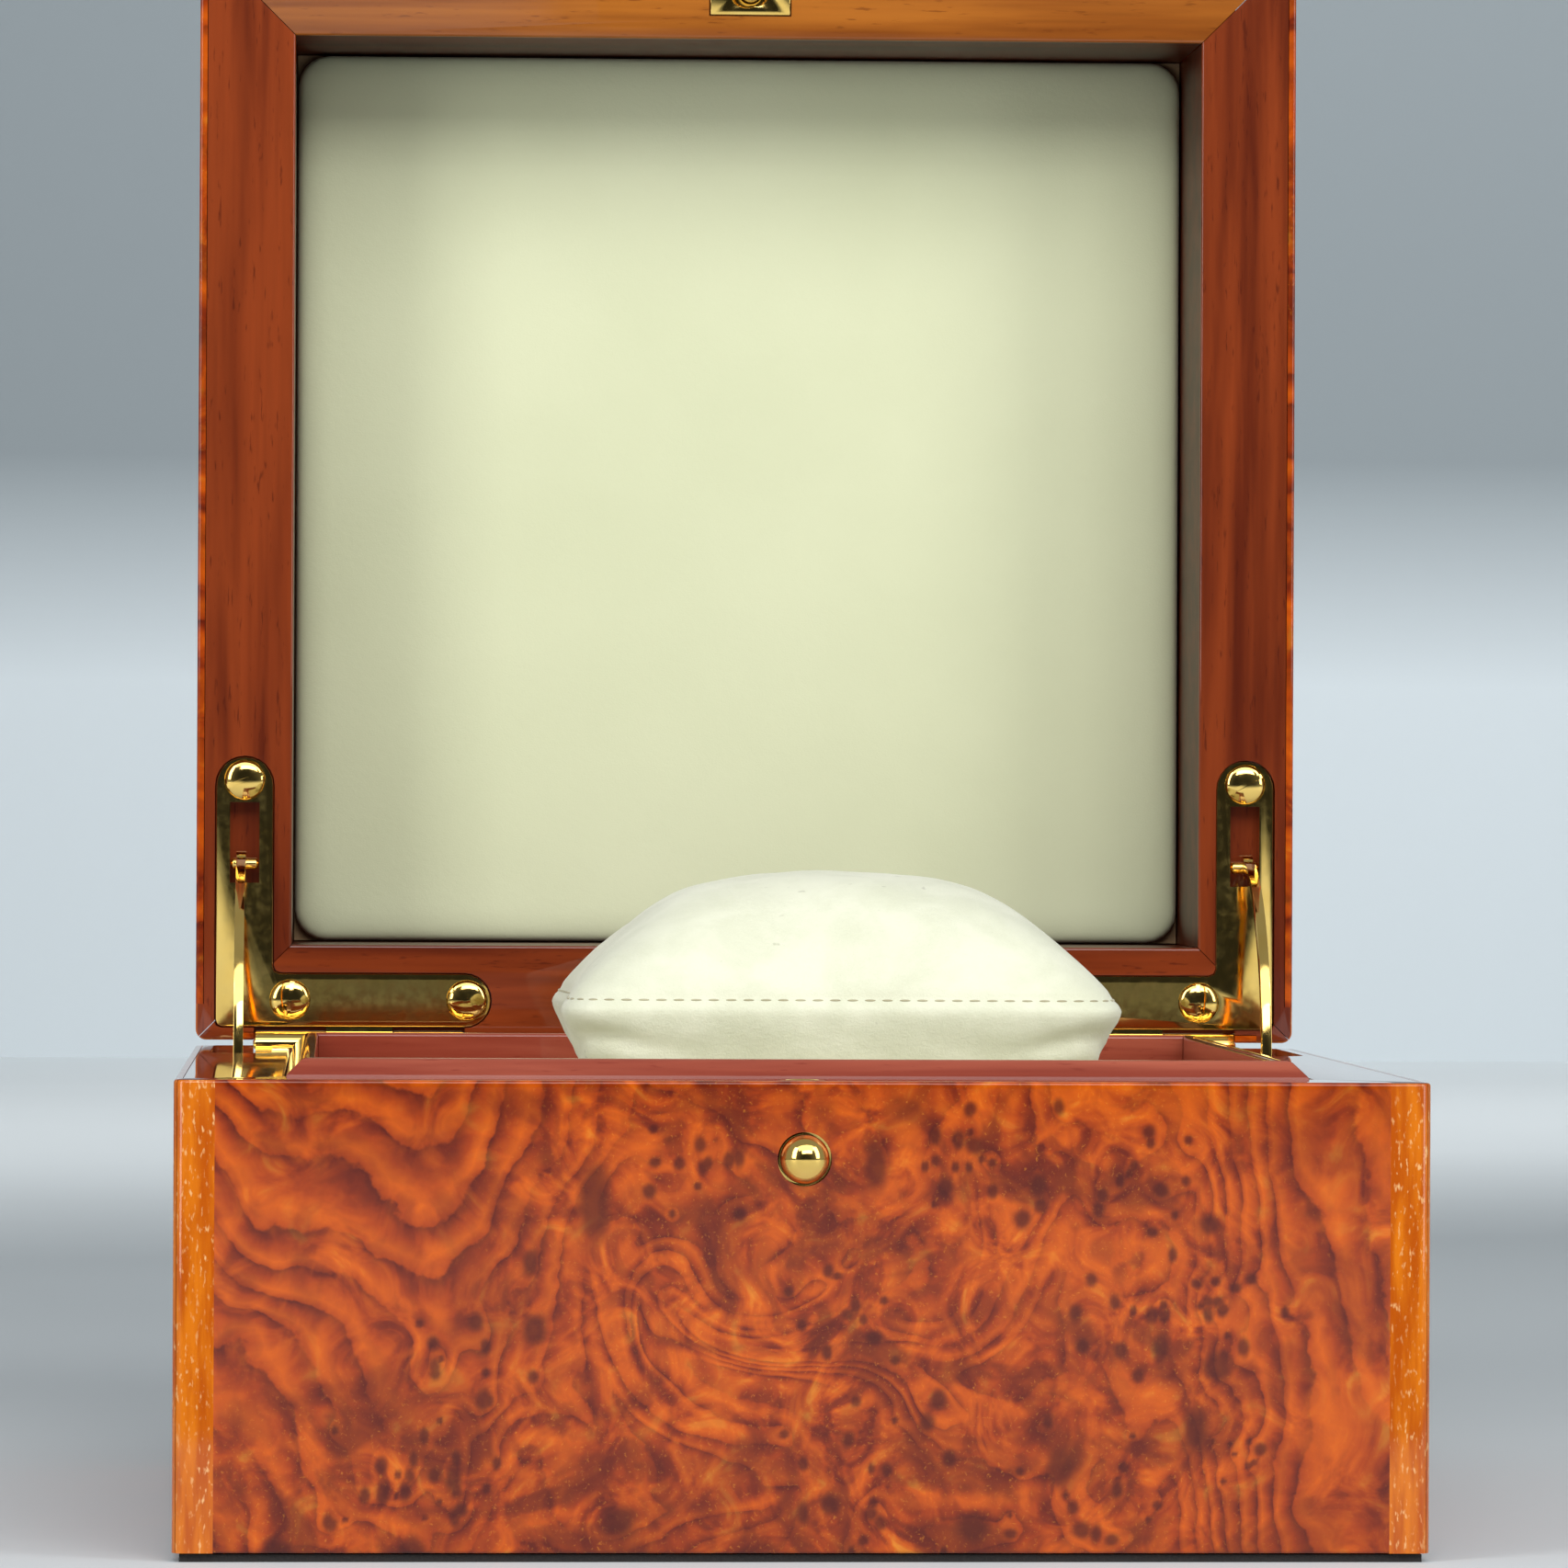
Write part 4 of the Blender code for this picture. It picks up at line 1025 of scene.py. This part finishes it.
screwSpots = []
for node, middle, low, high in screwPlaces("base"):
    screwSpots.append((half * mm - abs(middle[0]), axisY - middle[1]))


def slotBounds(shape, axis, seen):
    rows = []
    for v in shape.verts:
        outside = half * mm - abs(v.co.x)
        onSlot = min(abs(outside - side) for side in brassLook["slotSides"]) < 0.00005
        if abs(v.co[axis] - seen) < 0.00002 and onSlot:
            forward = axisY - v.co.y if axis == 2 else v.co.z - axisZ
            rows.append(forward)
    return (min(rows), max(rows)) if rows else (1, -1)


for label in ("left", "right"):
    for part in ("base", "lid"):
        finishLeaf(f"{label}_{part}_leaf")


def revolved(name, profile, place, axis, steps=72):
    # turns (height, radius) pairs, in millimetres, about an axis through place
    first, second = [(1, 2), (2, 0), (0, 1)][axis]
    loops = []
    for height, radius in profile:
        loop = []
        for k in range(steps):
            t = 2 * pi * k / steps
            p = list(place)
            p[axis] += height
            p[first] += radius * cos(t)
            p[second] += radius * sin(t)
            loop.append(p)
        loops.append(loop)
    return loopedMesh(name, loops)


buttonLook = {"dome": 12}


def makeButton():
    low, high = (np.array(c) * 1000 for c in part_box("push_button"))
    front = halves["base"][0][1] * 1000
    proud = front - low[1]
    profile = []
    for k in range(1, buttonLook["dome"] + 1):
        t = pi / 2 * k / buttonLook["dome"]
        profile.append((-proud * cos(t), buttonRadius * sin(t)))
    profile += [(0.8, buttonRadius), (1.5, buttonRadius), (1.6, buttonRadius - 0.1), (1.6, 2.3)]
    profile += [(high[1] - front - 0.1, 2.3), (high[1] - front, 2.2)]
    mesh = revolved("button_dome", profile, (0, front, buttonZ), 1)
    addPiece("button_dome", autoSmooth(mesh), [brassPaint], ["push_button"], False)


makeButton()


def makeBush():
    low, high = (np.array(c) * 1000 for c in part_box("rim_bush"))
    place = ((low[0] + high[0]) / 2, (low[1] + high[1]) / 2, 0)
    outer, inner, top = (high[0] - low[0]) / 2, 2.0, high[2]
    profile = [(low[2], outer)]
    profile += [(top - 0.3 + 0.3 * sin(t), outer - 0.3 + 0.3 * cos(t)) for t in np.linspace(0, pi / 2, 5)]
    profile += [(top - 0.5 + 0.5 * cos(t), inner + 0.5 - 0.5 * sin(t)) for t in np.linspace(0, pi / 2, 6)]
    profile += [(low[2], inner)]
    loops = []
    for height, radius in profile:
        turns = [2 * pi * k / 64 for k in range(64)]
        loops.append([(place[0] + radius * cos(t), place[1] + radius * sin(t), height) for t in turns])
    mesh = autoSmooth(loopedMesh("rim_bush_ring", loops, True))
    addPiece("rim_bush_ring", mesh, [brassPaint], ["rim_bush"], False)


makeBush()


def screwTree():
    # one slotted screw on every point, turned by the point's own angle
    tree = bpy.data.node_groups.new("hinge screws", "GeometryNodeTree")
    face = tree.interface
    face.new_socket("Geometry", in_out="INPUT", socket_type="NodeSocketGeometry")
    face.new_socket("Screw", in_out="INPUT", socket_type="NodeSocketObject")
    face.new_socket("Facing", in_out="INPUT", socket_type="NodeSocketVector")
    face.new_socket("Metal", in_out="INPUT", socket_type="NodeSocketMaterial")
    face.new_socket("Geometry", in_out="OUTPUT", socket_type="NodeSocketGeometry")
    nodesMade = {}
    for key, kind in (("in", "NodeGroupInput"), ("out", "NodeGroupOutput"), ("info", "GeometryNodeObjectInfo"),
                      ("angle", "GeometryNodeInputNamedAttribute"), ("place", "GeometryNodeInstanceOnPoints"),
                      ("aim", "FunctionNodeAlignRotationToVector"), ("spin", "FunctionNodeRotateRotation"),
                      ("turn", "FunctionNodeAxisAngleToRotation"), ("real", "GeometryNodeRealizeInstances"),
                      ("points", "GeometryNodeMeshToPoints"), ("paint", "GeometryNodeSetMaterial")):
        nodesMade[key] = tree.nodes.new(kind)
    n = nodesMade
    n["angle"].data_type = "FLOAT"
    n["angle"].inputs["Name"].default_value = "turn"
    n["spin"].rotation_space = "LOCAL"
    n["turn"].inputs["Axis"].default_value = (0, 0, 1)
    n["aim"].axis = "Z"
    for first, second in (
        (n["in"].outputs["Geometry"], n["points"].inputs["Mesh"]),
        (n["points"].outputs["Points"], n["place"].inputs["Points"]),
        (n["in"].outputs["Screw"], n["info"].inputs["Object"]),
        (n["info"].outputs["Geometry"], n["place"].inputs["Instance"]),
        (n["in"].outputs["Facing"], n["aim"].inputs["Vector"]),
        (n["aim"].outputs["Rotation"], n["spin"].inputs["Rotation"]),
        (n["angle"].outputs["Attribute"], n["turn"].inputs["Angle"]),
        (n["turn"].outputs["Rotation"], n["spin"].inputs["Rotate By"]),
        (n["spin"].outputs["Rotation"], n["place"].inputs["Rotation"]),
        (n["place"].outputs["Instances"], n["real"].inputs["Geometry"]),
        (n["real"].outputs["Geometry"], n["paint"].inputs["Geometry"]),
        (n["in"].outputs["Metal"], n["paint"].inputs["Material"]),
        (n["paint"].outputs["Geometry"], n["out"].inputs["Geometry"]),
    ):
        tree.links.new(first, second)
    return tree


screwLook = {"radius": 2.9, "dome": 0.72, "slotWidth": 0.62, "slotDepth": 0.55, "length": 9.0}


def screwPattern():
    # one screw with a slot, its head's underside edge at height 0
    look = screwLook
    profile = [(-look["length"], 0.05), (-8.3, 0.45), (-7.4, 1.1), (-1.75, 1.1)]
    profile.append((-0.05, look["radius"] - 0.04))
    for k in range(9):
        t = pi / 2 * k / 8
        profile.append((look["dome"] * sin(t), look["radius"] * cos(t) + 0.02))
    body = revolved("screw", profile, (0, 0, 0), 2, 40)
    screw = linked("screw", body)
    tool = bmesh.new()
    bmesh.ops.create_cube(tool, size=1)
    bmesh.ops.scale(tool, vec=(8 * mm, look["slotWidth"] * mm, 2 * mm), verts=tool.verts)
    bmesh.ops.translate(tool, vec=(0, 0, (look["dome"] - look["slotDepth"] + 1) * mm), verts=tool.verts)
    cutter = linked("slot", meshFromBm("slot", tool))
    step = screw.modifiers.new("slot", "BOOLEAN")
    step.operation, step.solver, step.object = "DIFFERENCE", "EXACT", cutter
    mesh = evaluated(screw)
    bpy.data.objects.remove(cutter, do_unlink=True)
    mesh = autoSmooth(mesh, 40)
    pattern = linked("screw pattern", mesh)
    return pattern


def makeScrews():
    tree, pattern = screwTree(), screwPattern()
    for body, axis, sense in (("base", 2, 1), ("lid", 1, -1)):
        places = screwPlaces(body)
        points = []
        for node, middle, low, high in places:
            p = list(middle)
            top = high[axis] if sense > 0 else low[axis]
            p[axis] = top - sense * screwLook["dome"] * mm
            points.append(p)
        mesh = bpy.data.meshes.new("screw points")
        mesh.from_pydata(points, [], [])
        turns = [0.35 + 1.1 * k for k in range(len(points))]
        mesh.attributes.new("turn", "FLOAT", "POINT").data.foreach_set("value", turns)
        facing = [0, 0, 0]
        facing[axis] = sense
        done = runTree("screws", mesh, tree, {"Screw": pattern, "Facing": facing, "Metal": brassPaint})
        addPiece(body + "_screws", done, [brassPaint], [p[0] for p in places], False)
    bpy.data.objects.remove(pattern, do_unlink=True)


makeScrews()


def softened(node, name, width, segments, paint, angle=35):
    shape = cadCopy(node)
    mesh = autoSmooth(bevelled(shape, width, segments, lambda edge: True), angle)
    return addPiece(name, mesh, [paint], [node], False)


for label in ("left", "right"):
    softened(f"{label}_arm", f"{label}_quadrant", 0.25 * mm, 2, brassPaint)
    softened(f"{label}_arm_pin", f"{label}_arm_rivet", 0.08 * mm, 2, brassPaint, 50)
softened("strike_plate", "strike_plate_brass", 0.2 * mm, 2, brassPaint)
softened("strike_stud", "strike_stud_brass", 0.12 * mm, 2, brassPaint, 50)
report("brass finished")



plainPaints = {
    "base_floor": woodPaints[0], "base_felt": feltPaint, "tray_foam": foamPaint,
    "lid_top_board": boardPaint, "lid_pad_board": boardPaint,
}
for name, node in nodes.items():
    if not node.hide_render:
        paint = plainPaints.get(name, brassPaint)
        for k in range(max(1, len(node.material_slots))):
            if node.material_slots:
                node.material_slots[k].material = paint
            else:
                node.data.materials.append(paint)



stageLook = {
    "floor": srgb(218, 224, 226), "pale": srgb(206, 214, 218), "dark": srgb(138, 146, 150),
    "paleTop": 0.15, "darkFrom": 0.24, "backDistance": 2.2,
}


def stagePlane(name, corners, colour, roughness):
    mesh = bpy.data.meshes.new(name)
    mesh.from_pydata(corners, [], [list(range(len(corners)))])
    made = linked(name, mesh)
    paint = Paint(name, {"Roughness": roughness})
    cloud = paint.noise(paint.place(), 300.0, 2)
    mesh.materials.append(paint.finish(Base_Color=paint.mix(cloud, [c * 0.94 for c in colour], colour)))


wide, far = 4.0, stageLook["backDistance"]
floorCorners = [(-wide, -wide, 0), (wide, -wide, 0), (wide, far, 0), (-wide, far, 0)]
stagePlane("floor", floorCorners, stageLook["floor"], 0.6)


def makeBackdrop():
    # painted light and shade: paler below where the lamps reach the wall, darker above, as a wall behind a lit
    # table looks
    look = stageLook
    levels = [0.0, look["paleTop"], look["darkFrom"], 3.0]
    corners = [(x, far, z) for z in levels for x in (-wide, wide)]
    mesh = bpy.data.meshes.new("backdrop")
    mesh.from_pydata(corners, [], [(2 * k, 2 * k + 1, 2 * k + 3, 2 * k + 2) for k in range(3)])
    shades = [float(k > 1) for k in range(4) for _ in (0, 1)]
    mesh.attributes.new("shade", "FLOAT", "POINT").data.foreach_set("value", shades)
    made = linked("backdrop", mesh)
    paint = Paint("backdrop", {"Roughness": 0.9})
    colour = paint.mix(paint.attribute("shade"), look["pale"], look["dark"])
    mesh.materials.append(paint.finish(Base_Color=colour))


makeBackdrop()


def softbox(name, place, aim, size, power, colour=(1, 1, 1)):
    light = bpy.data.lights.new(name, "AREA")
    light.shape = "RECTANGLE"
    light.size, light.size_y = size
    light.energy, light.color = power, colour
    made = linked(name, light)
    made.location = place
    made.rotation_euler = (Vector(aim) - Vector(place)).to_track_quat("-Z", "Y").to_euler()


centre = (0, 0, 0.08)
softbox("left softbox", (-0.75, -0.75, 0.55), centre, (0.35, 0.9), 5.5)
softbox("right softbox", (0.85, -0.65, 0.55), centre, (0.35, 0.9), 4.5)
softbox("top softbox", (0.1, -0.95, 1.15), (0, 0, 0.14), (1.6, 0.6), 7)
softbox("front fill", (0.25, -1.6, 1.0), (0, 0, 0.14), (1.3, 0.45), 11)
softbox("back softbox", (0.3, 1.3, 0.9), (0, 2.2, 0.4), (1.6, 0.8), 12)

world = bpy.data.worlds.new("studio")
bpy.context.scene.world = world
world.use_nodes = True
worldLook = {
    "pale": (0.62, 0.66, 0.70, 1), "dark": (0.05, 0.055, 0.06, 1), "strength": 0.5, "turn": (-0.97, -0.45),
}


def paintWorld():
    # pale all round but dark behind the camera, which the lacquer and the brass mirror
    tree = world.node_tree
    where = tree.nodes.new("ShaderNodeTexCoord")
    split = tree.nodes.new("ShaderNodeSeparateXYZ")
    share = tree.nodes.new("ShaderNodeMapRange")
    share.inputs["From Min"].default_value, share.inputs["From Max"].default_value = worldLook["turn"]
    tones = tree.nodes.new("ShaderNodeMix")
    tones.data_type = "RGBA"
    tones.inputs[6].default_value, tones.inputs[7].default_value = worldLook["dark"], worldLook["pale"]
    background = tree.nodes["Background"]
    background.inputs["Strength"].default_value = worldLook["strength"]
    tree.links.new(where.outputs["Generated"], split.inputs[0])
    tree.links.new(split.outputs["Y"], share.inputs["Value"])
    tree.links.new(share.outputs[0], tones.inputs[0])
    tree.links.new(tones.outputs[2], background.inputs["Color"])


paintWorld()

cameraLook = {
    "place": (-0.0605, -1.1967, 0.098), "yaw": 0.0516, "pitch": 0.0035, "roll": 0.0046, "lens": 195.7,
}


def makeCamera():
    look = cameraLook
    yaw, pitch, roll = look["yaw"], look["pitch"], look["roll"]
    forward = Vector((sin(yaw) * cos(pitch), cos(yaw) * cos(pitch), sin(pitch)))
    right = Vector((cos(yaw), -sin(yaw), 0))
    upward = right.cross(forward)
    turnedRight = right * cos(roll) + upward * sin(roll)
    turnedUp = upward * cos(roll) - right * sin(roll)
    camera = linked("camera", bpy.data.cameras.new("camera"))
    camera.data.lens, camera.data.sensor_width = look["lens"], 36
    camera.data.clip_start, camera.data.clip_end = 0.05, 20
    matrix = Matrix((turnedRight, turnedUp, -forward)).transposed().to_4x4()
    matrix.translation = look["place"]
    camera.matrix_world = matrix
    bpy.context.scene.camera = camera


makeCamera()
bpy.context.scene.view_settings.view_transform = "Standard"
bpy.context.view_layer.update()
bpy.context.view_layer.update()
report("ready")
